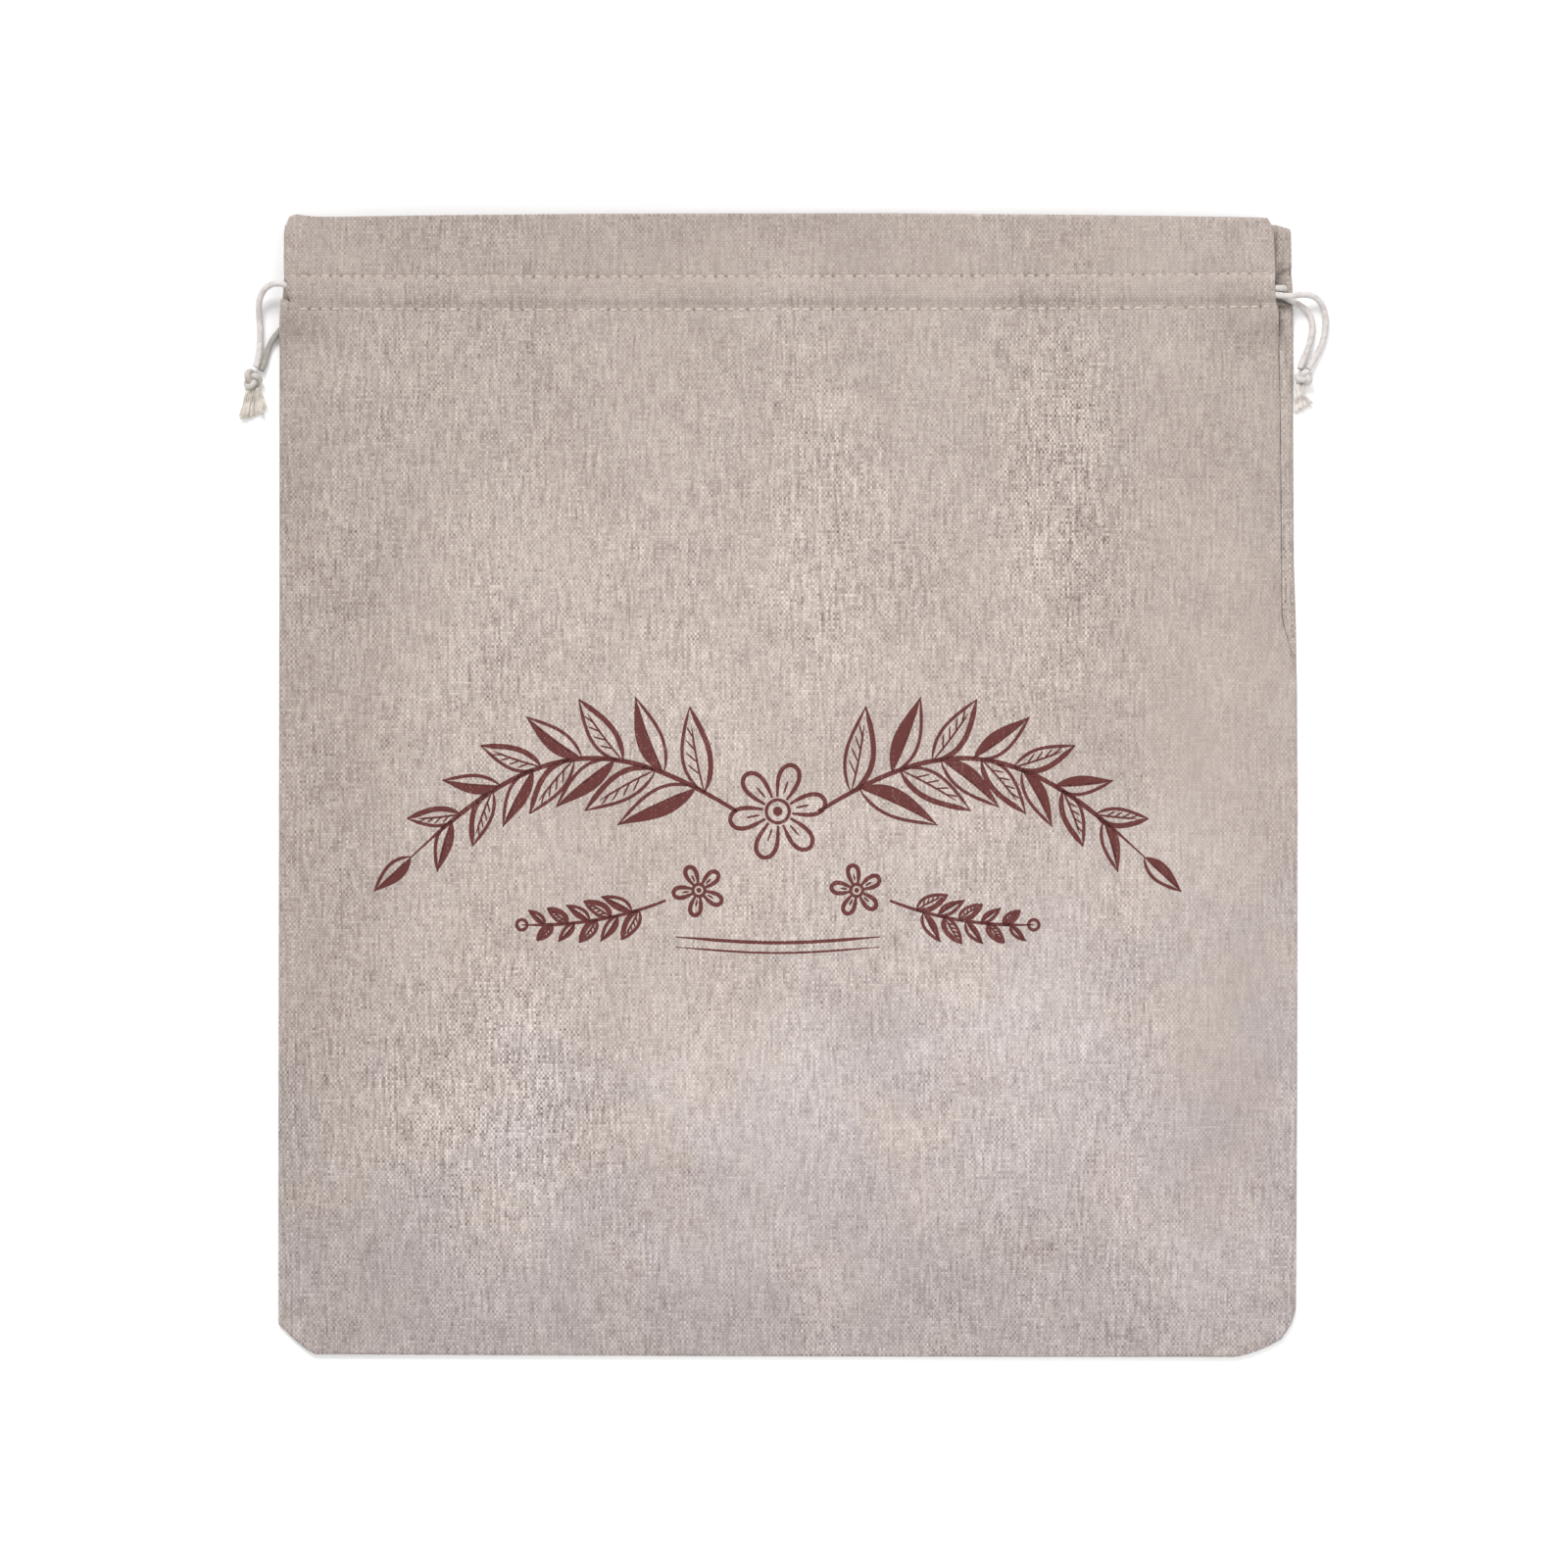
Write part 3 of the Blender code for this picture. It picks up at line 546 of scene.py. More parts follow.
def front_place(row, u, face):
    """A point of the visible front panel, on one of its faces."""
    row_y, layers, swell = row
    share = INNER_SHARE[face]
    left = mix(front_sides.at(row_y, 1), inner_left(row_y), share)
    right = front_sides.at(row_y, 2) - FRONT_RECESS[1] * share * recess(row_y)
    x, y = panel_point(row_y, mix(left, right, u), front_top)
    outer = front_height(x, y) + TUNNEL / 2 * swell
    inner = outer - layers * CLOTH - TUNNEL * swell
    side = min(x - left, right - x)
    below = y - bottom_edge.at(x)
    above = front_top.at(x) - y
    if x < FLAP_FIRST_X and row_y < TONGUE_TOP + TONGUE_EASE:
        reach = ease((FLAP_FIRST_X - x) / (FLAP_FIRST_X - FLAP_LAST_X))
        y += FLAP_LIFT * mix(1.0, TONGUE_LIFT_SHARE, share) * reach * ease((row_y - FLAP_LOW) / FLAP_EASE)
    calm = ease(side / CALM_SIDE) * ease(below / CALM_SIDE) * ease(above / CALM_TOP)
    loose = unevenness(x, y) * calm
    rows = min(abs(row_y - ROW_LOW), abs(row_y - ROW_HIGH))
    outer += loose - groove(rows)
    inner += loose
    free = ease((row_y - SLIT_END) / FREE_EASE)
    half = layers * CLOTH / 2
    beside_strip = ease((row_y - STRIP_START) / STRIP_EASE) if right - x < x - left else 0.0
    sewn_round = mix(SEWN_EDGE_ROUND, STRIP_EDGE_ROUND, beside_strip)
    deepest = mix(SEWN_EDGE_DROP, STRIP_EDGE_DROP, beside_strip)
    sewn_drop = rounding(min(side, below), sewn_round, deepest) * (1 - free)
    free_drop = rounding(side, FREE_EDGE_ROUND, half * SIDE_SHARE) * free
    free_drop += rounding(above, FREE_EDGE_ROUND, half * TOP_SHARE)
    heights = {
        "outer": outer - sewn_drop - min(free_drop, half * THINNEST),
        "near": outer - CLOTH,
        "point": outer - CLOTH,
        "far": inner + CLOTH,
        "inner": inner + min(free_drop, half * THINNEST) * INNER_ROUND_SHARE,
    }
    return x, y, heights[face]


def strip_rise(row_y, u):
    """How far the back panel's rolled strip stands above its cloth, most of all below the mouth."""
    if u <= 1:
        return 0.0
    off_middle = abs(2 * min(u - 1, 1.0) - 1)
    crown = math.sqrt(max(0.0, 1 - off_middle**STRIP_CROWN_POWER))
    if u < 1.5:
        crown = mix(STRIP_SEAM_SHARE, 1.0, crown)
    rolled = (CLOTH + GAP) * ease((row_y - STRIP_START) / STRIP_EASE) if row_y < HEM_EDGE else 0.0
    climb = ease((row_y - STRIP_CLIMB) / STRIP_CLIMB_EASE) * ease((STRIP_END - row_y) / STRIP_END_EASE)
    return (rolled + STRIP_MOUTH_RISE * climb) * crown


def back_place(row, u, face):
    """A point of the visible back panel. Columns past 1 lie in its rolled strip."""
    row_y, layers, swell = row
    share = INNER_SHARE[face]
    left = back_sides.at(row_y, 1) + BACK_RECESS[0] * share * recess(row_y)
    beyond_strip = min(recess(row_y), ease((row_y - STRIP_END) / STRIP_END_EASE))
    right = back_sides.at(row_y, 2) - BACK_RECESS[1] * share * beyond_strip
    seam = min(front_sides.at(row_y, 2) + SEAM_GAP, right - STRIP_LEAST)
    x = mix(left, seam, u) if u <= 1 else mix(seam, right, u - 1)
    x, y = panel_point(row_y, x, back_top)
    inner = layers * CLOTH + TUNNEL * swell
    rows = min(abs(row_y - ROW_LOW), abs(row_y - ROW_HIGH))
    side = min(x - left, right - x)
    above = back_top.at(x) - y
    below = y - bottom_edge.at(x)
    edge = min(side, above, below)
    half = inner / 2
    drop = rounding(edge, FREE_EDGE_ROUND, min(half, CLOTH) * 0.8)
    lift = rounding(edge, FREE_EDGE_ROUND, min(half, CLOTH) * 0.25)
    heights = {
        "outer": lift,
        "near": CLOTH,
        "point": CLOTH,
        "far": inner - CLOTH,
        "inner": inner - drop - groove(rows) * 0.6 + strip_rise(row_y, u),
    }
    return x, y, heights[face]


def fine_rows(pitch):
    """Rows of the visible cloth up the bag: y, layers and swell, closer at the edges and the channel."""
    low_end = HEM_EDGE - HEM_STEP / 2
    places = [FIRST_Y + step for step in FINE_EDGE_STEPS]
    start, end = places[-1], low_end - HEM_STEPS[0]
    count = math.ceil((end - start) / pitch)
    places += [mix(start, end, k / count) for k in range(1, count + 1)]
    places += [low_end - step for step in HEM_STEPS[1:]]
    rows = [(y, 1, 0.0) for y in [*places, low_end]]
    rows += [(y, 2, 0.0) for y in (low_end + HEM_STEP, *ROWS_BELOW)]
    for k in range(2 * CHANNEL_ROWS + 1):
        y = mix(ROW_LOW, ROW_HIGH, 0.5 - 0.5 * math.cos(math.pi * k / (2 * CHANNEL_ROWS)))
        inside = 0 < k < 2 * CHANNEL_ROWS
        rows.append((y, 2, channel_swell(y) if inside else 0.0))
    rows += [(y, 2, 0.0) for y in ROWS_ABOVE]
    top = LAST_Y - FINE_EDGE_STEPS[-1]
    rows += [(mix(ROWS_ABOVE[-1], top, k / HEADING_ROWS), 2, 0.0) for k in range(1, HEADING_ROWS + 1)]
    rows += [(LAST_Y - step, 2, 0.0) for step in reversed(FINE_EDGE_STEPS[:-1])]
    return rows


def fine_columns(pitch):
    """Column positions of the visible cloth, from 0 to 1, closer at both sides."""
    width = 2 * HALF_WIDTH
    inner = width - 2 * FINE_EDGE_STEPS[-1]
    count = round(inner / pitch)
    places = list(FINE_EDGE_STEPS)
    places += [FINE_EDGE_STEPS[-1] + inner * k / count for k in range(1, count)]
    places += [width - d for d in reversed(FINE_EDGE_STEPS)]
    return [p / width for p in places]


def stack_faces(rows):
    """The faces that each row passes through, outermost first. The channel opens between two rows."""
    open_rows = [k for k, row in enumerate(rows) if row[2] > 0]
    first, last = open_rows[0] - 1, open_rows[-1] + 1
    stacks = []
    for k in range(len(rows)):
        if first < k < last:
            stacks.append(("outer", "near", "far", "inner"))
        elif k in (first, last):
            stacks.append(("outer", "point", "inner"))
        else:
            stacks.append(("outer", "inner"))
    return stacks, first, last


def end_faces(bm, stacks):
    """Close a panel's side edge, leaving the channel's mouth open."""
    for low, high in zip(stacks, stacks[1:]):
        if len(low) == 2 and len(high) == 2:
            bm.faces.new((low["outer"], high["outer"], high["inner"], low["inner"]))
        elif len(low) == 2:
            bm.faces.new((low["outer"], high["outer"], high["point"]))
            bm.faces.new((low["outer"], high["point"], high["inner"], low["inner"]))
        elif len(high) == 2:
            bm.faces.new((low["outer"], high["outer"], low["point"]))
            bm.faces.new((low["point"], high["outer"], high["inner"], low["inner"]))
        else:
            near = [stack.get("near", stack.get("point")) for stack in (low, high)]
            far = [stack.get("far", stack.get("point")) for stack in (low, high)]
            bm.faces.new((low["outer"], high["outer"], near[1], near[0]))
            bm.faces.new((far[0], far[1], high["inner"], low["inner"]))


def sheet_faces(bm, lines):
    """Quads between neighbouring lines of points."""
    for low, high in zip(lines, lines[1:]):
        for k in range(len(low) - 1):
            bm.faces.new((low[k], low[k + 1], high[k + 1], high[k]))


def build_cloth(name, place, rows, stations, finish):
    """A visible cloth panel with its doubled heading and open-ended channel."""
    bm = bmesh.new()
    faces, first, last = stack_faces(rows)
    grid = []
    for row, names in zip(rows, faces):
        grid.append({face: [bm.verts.new(place(row, u, face)) for u in stations] for face in names})
    sheet_faces(bm, [row["outer"] for row in grid])
    sheet_faces(bm, [row["inner"] for row in grid])
    tunnel = grid[first : last + 1]
    sheet_faces(bm, [row.get("near", row.get("point")) for row in tunnel])
    sheet_faces(bm, [row.get("far", row.get("point")) for row in tunnel])
    sheet_faces(bm, [grid[0]["outer"], grid[0]["inner"]])
    sheet_faces(bm, [grid[-1]["outer"], grid[-1]["inner"]])
    for side in (0, -1):
        end_faces(bm, [{face: line[side] for face, line in row.items()} for row in grid])
    return add_mesh(name, bm, finish, 60)


# Objects and materials


def add_mesh(name, bm, finish, sharp=180):
    """Link a bmesh as a named piece, smooth except at edges sharper than the given angle."""
    bmesh.ops.recalc_face_normals(bm, faces=bm.faces)
    mesh = bpy.data.meshes.new(name)
    bm.to_mesh(mesh)
    bm.free()
    mesh.shade_smooth()
    if sharp < 180:
        mesh.set_sharp_from_angle(angle=math.radians(sharp))
    mesh.materials.append(finish)
    made = bpy.data.objects.new(name, mesh)
    bpy.context.scene.collection.objects.link(made)
    return made


class Value:
    """A node's output, for plain formulas: each sign in them makes a math node."""

    def __init__(self, nodes, socket):
        self.nodes = nodes
        self.socket = socket

    def __add__(self, other):
        return self.nodes.math("ADD", self, other)

    def __sub__(self, other):
        return self.nodes.math("SUBTRACT", self, other)

    def __mul__(self, other):
        return self.nodes.math("MULTIPLY", self, other)

    def __truediv__(self, other):
        return self.nodes.math("DIVIDE", self, other)


class Nodes:
    """Short calls for building a material's nodes."""

    def __init__(self, name):
        self.material = bpy.data.materials.new(name)
        self.material.use_nodes = True
        self.tree = self.material.node_tree
        self.shader = self.tree.nodes["Principled BSDF"]
        self.position = self.node("TexCoord", {}, "Object")

    def put(self, value, socket):
        """Set a socket to a number or vector, or link it to a node's output."""
        if isinstance(value, Value):
            self.tree.links.new(value.socket, socket)
        else:
            socket.default_value = value

    def node(self, kind, inputs, output=0, **settings):
        """An output of a new node with the given inputs and settings."""
        made = self.tree.nodes.new("ShaderNode" + kind)
        for key, value in settings.items():
            setattr(made, key, value)
        for key, value in inputs.items():
            self.put(value, made.inputs[key])
        return Value(self, made.outputs[output])

    def math(self, operation, *values, clamp=False):
        return self.node("Math", dict(enumerate(values)), operation=operation, use_clamp=clamp)

    def vector(self, operation, *values):
        return self.node("VectorMath", dict(enumerate(values)), operation=operation)

    def length(self, vector):
        return self.node("VectorMath", {0: vector}, "Value", operation="LENGTH")

    def millimetres(self):
        """The place on the object, in millimetres."""
        return self.node("VectorMath", {0: self.position, "Scale": 1000.0}, operation="SCALE")

    def split(self, vector):
        """The x, y and z of a vector."""
        outputs = self.node("SeparateXYZ", {0: vector}).socket.node.outputs
        return [Value(self, output) for output in outputs]

    def join(self, x, y, z=0.0):
        return self.node("CombineXYZ", {0: x, 1: y, 2: z})

    def noise(self, vector, scale=1.0, detail=2.0, rough=0.5):
        inputs = {"Vector": vector, "Scale": scale, "Detail": detail, "Roughness": rough}
        return self.node("TexNoise", inputs, "Fac")

    def chance(self, vector):
        """An even random number from 0 to 1 for each vector."""
        return self.node("TexWhiteNoise", {"Vector": vector}, "Value")

    def swing(self, value, amount):
        """A value from 0 to 1 as a swing either way round zero."""
        return (value - 0.5) * amount

    def ramp(self, value, low, high, start=0.0, end=1.0):
        """A smooth change from start to end as value goes from low to high."""
        inputs = {"Value": value, "From Min": low, "From Max": high, "To Min": start, "To Max": end}
        return self.node("MapRange", inputs, "Result", interpolation_type="SMOOTHSTEP")

    def blend(self, share, a, b, kind="MIX"):
        """A mix of two colours."""
        return self.node("Mix", {0: share, 6: a, 7: b}, 2, data_type="RGBA", blend_type=kind)

    def bump(self, height, distance, strength):
        """Fine relief on the surface, up to a distance in metres."""
        inputs = {"Distance": distance, "Strength": strength, "Height": height}
        self.put(self.node("Bump", inputs), self.shader.inputs["Normal"])

    def surface(self, colour, roughness, specular=0.5, sheen=0.0, sheen_roughness=0.5):
        """Give the shader its colour and its constants, and return the material."""
        self.put(colour, self.shader.inputs["Base Color"])
        self.shader.inputs["Roughness"].default_value = roughness
        self.shader.inputs["Specular IOR Level"].default_value = specular
        self.shader.inputs["Sheen Weight"].default_value = sheen
        self.shader.inputs["Sheen Roughness"].default_value = sheen_roughness
        return self.material


# Yarn spacing in millimetres, across the bag and up it
WARP_PITCH = 0.87
WEFT_PITCH = 1.08

# How much each part adds to the cloth's tone
YARN_SWING = 1.10
CROSSING_SWING = 0.13
FLECK_SWING = 0.36
SLUB_SWING = 0.66
CROSS_SLUB_SWING = 0.15
WEFT_SHARE = 0.65
PATCH_SWING = 0.10
CLOUD_SWING = 0.30
TONE_MIDDLE = 0.525
CRISP_MIDDLE = 0.95
CRISP_LIFT = 0.06
YARN_LIFT = 0.55
NEXT_YARN = 7.31
WEAVE_RELIEF = 0.00012
WEAVE_BUMP = 0.7

# Places where the weave stands out more or less: centre x and y, half sizes in millimetres, strength
CRISP_PLACES = (
    (106.0, 108.0, 34.0, 105.0, 0.62),
    (14.0, 85.0, 42.0, 95.0, 0.40),
    (-118.0, 85.0, 30.0, 90.0, 0.30),
    (-116.0, -124.0, 66.0, 76.0, 0.82),
    (172.0, 10.0, 52.0, 260.0, -0.50),
    (0.0, 205.0, 400.0, 34.0, -0.35),
)

# Places where the cloth is paler or darker, in the same columns: uneven tone, and painted shade in the
# upper right creases and along the edges
TONE_AND_SHADE_PLACES = (
    (88.0, -92.0, 52.0, 40.0, 0.095),
    (-14.0, -118.0, 62.0, 46.0, 0.105),
    (20.0, 196.0, 90.0, 26.0, 0.045),
    (148.0, -38.0, 36.0, 40.0, 0.060),
    (-60.0, -158.0, 44.0, 26.0, -0.055),
    (92.0, -188.0, 60.0, 24.0, -0.070),
    (10.0, -212.0, 220.0, 26.0, -0.055),
    (128.0, 50.0, 38.0, 140.0, -0.070),
    (-190.0, -20.0, 56.0, 300.0, -0.095),
    (60.0, 70.0, 60.0, 110.0, -0.025),
    (-40.0, 214.0, 230.0, 32.0, -0.040),
    (185.0, -200.0, 50.0, 60.0, 0.030),
    (150.0, 190.0, 110.0, 40.0, 0.035),
    (-120.0, -118.0, 64.0, 70.0, -0.040),
    (102.0, 90.0, 40.0, 90.0, -0.030),
)


def places_total(n, place, places):
    """The strengths of soft oval places, added up where they overlap."""
    parts = []
    for x, y, half_x, half_y, strength in places:
        off = n.vector("SUBTRACT", place, (x, y, 0.0))
        off = n.vector("MULTIPLY", off, (1 / half_x, 1 / half_y, 0.0))
        parts.append(n.ramp(n.length(off), 0.15, 1.0, strength, 0.0))
    return sum(parts[1:], parts[0])


def weave(n, local=True):
    """Plain weave of uneven linen yarn. Returns its tone from 0 to 1, its height and painted shade for
    its pinholes.
    """
    place = n.millimetres()
    slow = n.noise(n.vector("MULTIPLY", place, (0.045, 0.045, 0.0)), 1.0, 3.0)
    quick = n.noise(n.vector("MULTIPLY", place, (0.16, 0.30, 0.0)))
    x, y, z = n.split(place)
    x = x + n.swing(slow, 2.0) + n.swing(quick, 0.6)
    y = y + n.swing(slow, 1.8) + n.swing(quick, 0.5)
    u = x / WARP_PITCH
    v = y / WEFT_PITCH
    warp, weft = n.math("FLOOR", u), n.math("FLOOR", v)
    across = n.math("COSINE", (n.math("FRACT", u) - 0.5) * math.pi)
    along = n.math("COSINE", (n.math("FRACT", v) - 0.5) * math.pi)
    sign = n.math("FLOORED_MODULO", warp + weft, 2.0) * 2.0 - 1.0
    relief = across * along
    lift = relief * (sign * YARN_LIFT)
    warp_height = across + lift
    weft_height = along - lift
    on_top = n.math("GREATER_THAN", warp_height, weft_height)
    height = n.math("MAXIMUM", warp_height, weft_height)
    # Each yarn has its own tone, which drifts along it
    warp_tone = n.noise(n.join(warp * NEXT_YARN, y / 14.0, 3.0), 1.0, 3.0, 0.6)
    weft_tone = n.noise(n.join(x / 8.0, weft * NEXT_YARN, 8.0), 1.0, 3.0, 0.6)
    weft_tone = n.swing(weft_tone, WEFT_SHARE) + 0.5
    yarn = weft_tone + (warp_tone - weft_tone) * on_top
    # Each crossing differs from its neighbours, and the warp's crossings are the lighter ones
    fleck = n.chance(n.join(warp, weft, 1.0))
    spot = relief * 0.75 + 0.25
    crossing = sign * relief * CROSSING_SWING
    # Slubs: long uneven streaks, stronger up the bag than across it
    slub_up = n.noise(n.join(x / 1.2, y / 11.0, 1.0), 1.0, 2.0, 0.55)
    slub_across = n.noise(n.join(x / 7.0, y / 1.3, 2.0), 1.0, 2.0, 0.55)
    patch = n.noise(n.join(x / 3.4, y / 5.0, 4.0))
    fine = n.swing(patch, PATCH_SWING) + n.swing(yarn, YARN_SWING) + crossing
    fine = fine + n.swing(fleck, FLECK_SWING) * spot
    fine = fine + n.swing(slub_up, SLUB_SWING) + n.swing(slub_across, CROSS_SLUB_SWING)
    bands = n.noise(n.vector("MULTIPLY", place, (0.020, 0.009, 0.0)))
    crisp = n.ramp(bands, 0.36, 0.64, 0.80, 1.10)
    if local:
        crisp = crisp + places_total(n, place, CRISP_PLACES)
    cloud = n.noise(n.vector("MULTIPLY", place, (0.024, 0.019, 0.0)), 1.0, 3.0, 0.55)
    tone = fine * crisp + n.swing(cloud, CLOUD_SWING) + (crisp - CRISP_MIDDLE) * CRISP_LIFT + TONE_MIDDLE
    # Uneven tone, and painted shade in the creases and along the edges
    if local:
        tone = tone + places_total(n, place, TONE_AND_SHADE_PLACES)
    tone = n.math("ADD", tone, 0.0, clamp=True)
    # Pinholes: painted shade in the gaps between the yarns
    pinhole_shade = n.ramp(height, 0.60, 0.20) * n.ramp(fleck, 0.0, 1.0, 1.0, 0.35)
    return tone, height, pinhole_shade


def needle_hole_shade(n):
    """Painted shade in small dimples between the stitches of both rows, where the needle went through."""
    x, y, z = n.split(n.position)
    marks = []
    for row, left, right in STITCH_ROWS:
        pitch = stitch_pitch(left, right)
        bend = n.math("POWER", n.math("ABSOLUTE", x / HALF_WIDTH), 4.0)
        off_row = y - (x * CHANNEL_TILT + bend * CHANNEL_SAG + (row - CHANNEL_SAG))
        place = (x - left) / pitch
        middle = (1 + STITCH_LENGTH / pitch) / 2
        off_hole = (n.math("FRACT", place) - middle) * pitch
        away = n.length(n.join(off_hole, off_row))
        deep = n.ramp(n.chance(n.join(n.math("FLOOR", place), row * 1000)), 0.2, 1.0, 0.15, 1.0)
        marks.append(n.ramp(away, 0.00035, 0.00095, deep, 0.0))
    return n.math("MAXIMUM", *marks)


def linen(name, lighten=1.0, local=True):
    """Greyish beige linen, a little greyer and cooler in its lower part, with painted shade in its
    pinholes and needle holes.
    """
    n = Nodes(name)
    tone, height, pinhole_shade = weave(n, local)
    dark, light = (rgba([c * lighten for c in colour]) for colour in (LINEN_DARK, LINEN_LIGHT))
    colour = n.blend(tone, dark, light)
    x, y, z = n.split(n.position)
    low = n.ramp(y - x * 0.25, 0.01, -0.20, 0.10, 1.0)
    low = low * n.ramp(n.noise(n.position, 26.0), 0.36, 0.64, 0.55, 1.35)
    colour = n.blend(low, colour, COOL_TINT, "MULTIPLY")
    # Painted shade in the pinholes
    colour = n.blend(pinhole_shade * 0.40, colour, rgba(LINEN_HOLE_SHADE))
    # Painted shade in the needle holes
    colour = n.blend(needle_hole_shade(n) * 0.50, colour, rgba(LINEN_HOLE_SHADE))
    n.bump(height, WEAVE_RELIEF, WEAVE_BUMP)
    return n.surface(colour, roughness=0.93, specular=0.18, sheen=0.10)


def ink(name):
    """Dark red-brown print that lets the weave show a little, with painted shade in its pinholes."""
    n = Nodes(name)
    tone, height, pinhole_shade = weave(n)
    colour = n.blend(n.ramp(tone, 0.50, 0.95) * 0.85, rgba(INK), rgba(INK_THIN))
    # Painted shade in the pinholes
    colour = n.blend(pinhole_shade * 0.4, colour, rgba(INK_PINHOLE_SHADE))
    n.bump(height, WEAVE_RELIEF, WEAVE_BUMP)
    return n.surface(colour, roughness=0.9, specular=0.2)


def cotton(name, colours, fibre):
    """Soft cotton with fine fibres, between two colours."""
    n = Nodes(name)
    place = n.millimetres()
    fine = n.noise(place, fibre, 3.0, 0.6)
    tone = fine * 0.7 + n.noise(place, 0.35) * 0.5
    light, dark = (rgba(colour) for colour in colours)
    n.bump(fine, 0.00006, 0.8)
    colour = n.blend(n.ramp(tone, 0.35, 0.80), dark, light)
    return n.surface(colour, roughness=0.88, specular=0.25, sheen=0.25, sheen_roughness=0.45)


# Cords


def lane_point(x, lane, front):
    """The centre of a cord's lane inside the front or the back channel."""
    y = lane + row_shift(x, lane)
    if not front:
        return Vector((x, y, BACK_LANE))
    inside = min(max(x, front_sides.at(lane, 1)), front_sides.at(lane, 2))
    return Vector((x, y, front_height(inside, y) - CLOTH))


def curved(points, samples=24):
    """A smooth curve through the given points, as many short steps."""
    points = [Vector(p) for p in points]
    padded = [2 * points[0] - points[1], *points, 2 * points[-1] - points[-2]]
    path = []
    for a, b, c, d in zip(padded, padded[1:], padded[2:], padded[3:]):
        square = 2 * a - 5 * b + 4 * c - d
        cube = 3 * b - a - 3 * c + d
        for k in range(samples):
            t = k / samples
            path.append(0.5 * (2 * b + (c - a) * t + square * t**2 + cube * t**3))
    path.append(points[-1])
    return path


def evenly(path, pitch):
    """Points at even steps of about the given pitch along a path."""
    steps = np.array([(b - a).length for a, b in zip(path, path[1:])])
    travelled = np.concatenate(([0.0], np.cumsum(steps)))
    count = max(2, round(travelled[-1] / pitch))
    wanted = np.linspace(0.0, travelled[-1], count + 1)
    table = np.array([tuple(p) for p in path])
    return [Vector([float(np.interp(w, travelled, table[:, axis])) for axis in range(3)]) for w in wanted]


def ring_frames(path):
    """A side vector at each point of a path, carried along without twist."""
    frames = []
    side = Vector((0, 0, 1))
    for k in range(len(path)):
        ahead = (path[min(k + 1, len(path) - 1)] - path[max(k - 1, 0)]).normalized()
        side = (side - ahead * side.dot(ahead)).normalized()
        frames.append((side, ahead.cross(side)))
    return frames


def tube(bm, path, radius, sides, shape=None):
    """A closed tube along a path. shape(angle, travelled, share) scales its radius."""
    rings = []
    travelled = 0.0
    for k, (point, (a, b)) in enumerate(zip(path, ring_frames(path))):
        if k:
            travelled += (point - path[k - 1]).length
        share = k / (len(path) - 1)
        ring = []
        for s in range(sides):
            angle = 2 * math.pi * s / sides
            reach = radius * (shape(angle, travelled, share) if shape else 1.0)
            ring.append(bm.verts.new(point + (a * math.cos(angle) + b * math.sin(angle)) * reach))
        rings.append(ring)
    for low, high in zip(rings, rings[1:]):
        for s in range(sides):
            bm.faces.new((low[s], low[(s + 1) % sides], high[(s + 1) % sides], high[s]))
    bm.faces.new(list(reversed(rings[0])))
    bm.faces.new(rings[-1])


def braid(angle, travelled, share):
    """Radius of a round braid: two sets of yarns that cross as they wind round."""
    wind = 2 * math.pi * travelled / BRAID_PITCH
    one = math.cos(BRAID_CARRIERS * (angle - wind / 2))
    other = math.cos(BRAID_CARRIERS * (angle + wind / 2))
    return 1 - BRAID_DEPTH / 2 + BRAID_DEPTH * max(one, other) * 0.5


def build_strand(name, lane, front, joint_x, route, finish):
    """A drawstring's free stretch, from inside its channel to its knot."""
    side = -1 if joint_x < 0 else 1
    start = lane_point(joint_x + side * GAP, lane, front)
    ahead = lane_point(joint_x + side * CORD, lane, front)
    path = evenly(curved([start, ahead, *route]), STRAND_RING_STEP)
    bm = bmesh.new()
    tube(bm, path, CORD_RADIUS, 24, braid)
    return add_mesh(name, bm, finish), path


def turn_drop(x):
    """How far a held run lies below its lane at the right turn."""
    return Vector((0.0, TURN_DROP * ease((x - TURN_DROP_START) / (TURN_RIGHT - TURN_DROP_START)), 0.0))


def build_run(name, lane, joint_x, turn_x, finish):
    """The part of a drawstring that the channels hold, round the far side."""
    side = 1 if turn_x > joint_x else -1
    count = round(abs(turn_x - joint_x) / RUN_RING_STEP)
    places = [mix(joint_x, turn_x, k / count) for k in range(count + 1)]
    path = [lane_point(x, lane, True) - turn_drop(x) for x in places]
    top = path[-1]
    radius = (top.z - BACK_LANE) / 2
    for k in range(1, TURN_STEPS):
        angle = math.pi * k / TURN_STEPS
        out = turn_x + side * radius * math.sin(angle)
        path.append(Vector((out, top.y, BACK_LANE + radius * (1 + math.cos(angle)))))
    path += [lane_point(x, lane, False) - turn_drop(x) for x in reversed(places)]
    bm = bmesh.new()
    tube(bm, path, CORD_RADIUS, 14, braid)
    return add_mesh(name, bm, finish)


def build_knot(name, values, finish):
    """An overhand knot: one cord that crosses itself three times."""
    centre_x, centre_y, scale_x, scale_y, scale_z, turn = values
    spin = Matrix.Rotation(turn, 3, "Z")
    path = []
    for k in range(KNOT_STEPS + 1):
        t = mix(0.35, 2 * math.pi + 0.05, k / KNOT_STEPS)
        loop = Vector((math.sin(t) + 2 * math.sin(2 * t), math.cos(t) - 2 * math.cos(2 * t), 0.0))
        loop = spin @ loop
        path.append(Vector((loop.x * scale_x, loop.y * scale_y, -math.sin(3 * t) * scale_z)))
    lowest = min(p.z for p in path) - KNOT_CORD_RADIUS
    path = [p + Vector((centre_x, centre_y, 0.0001 - lowest)) for p in path]
    bm = bmesh.new()
    tube(bm, path, KNOT_CORD_RADIUS, 20, braid)
    return add_mesh(name, bm, finish)


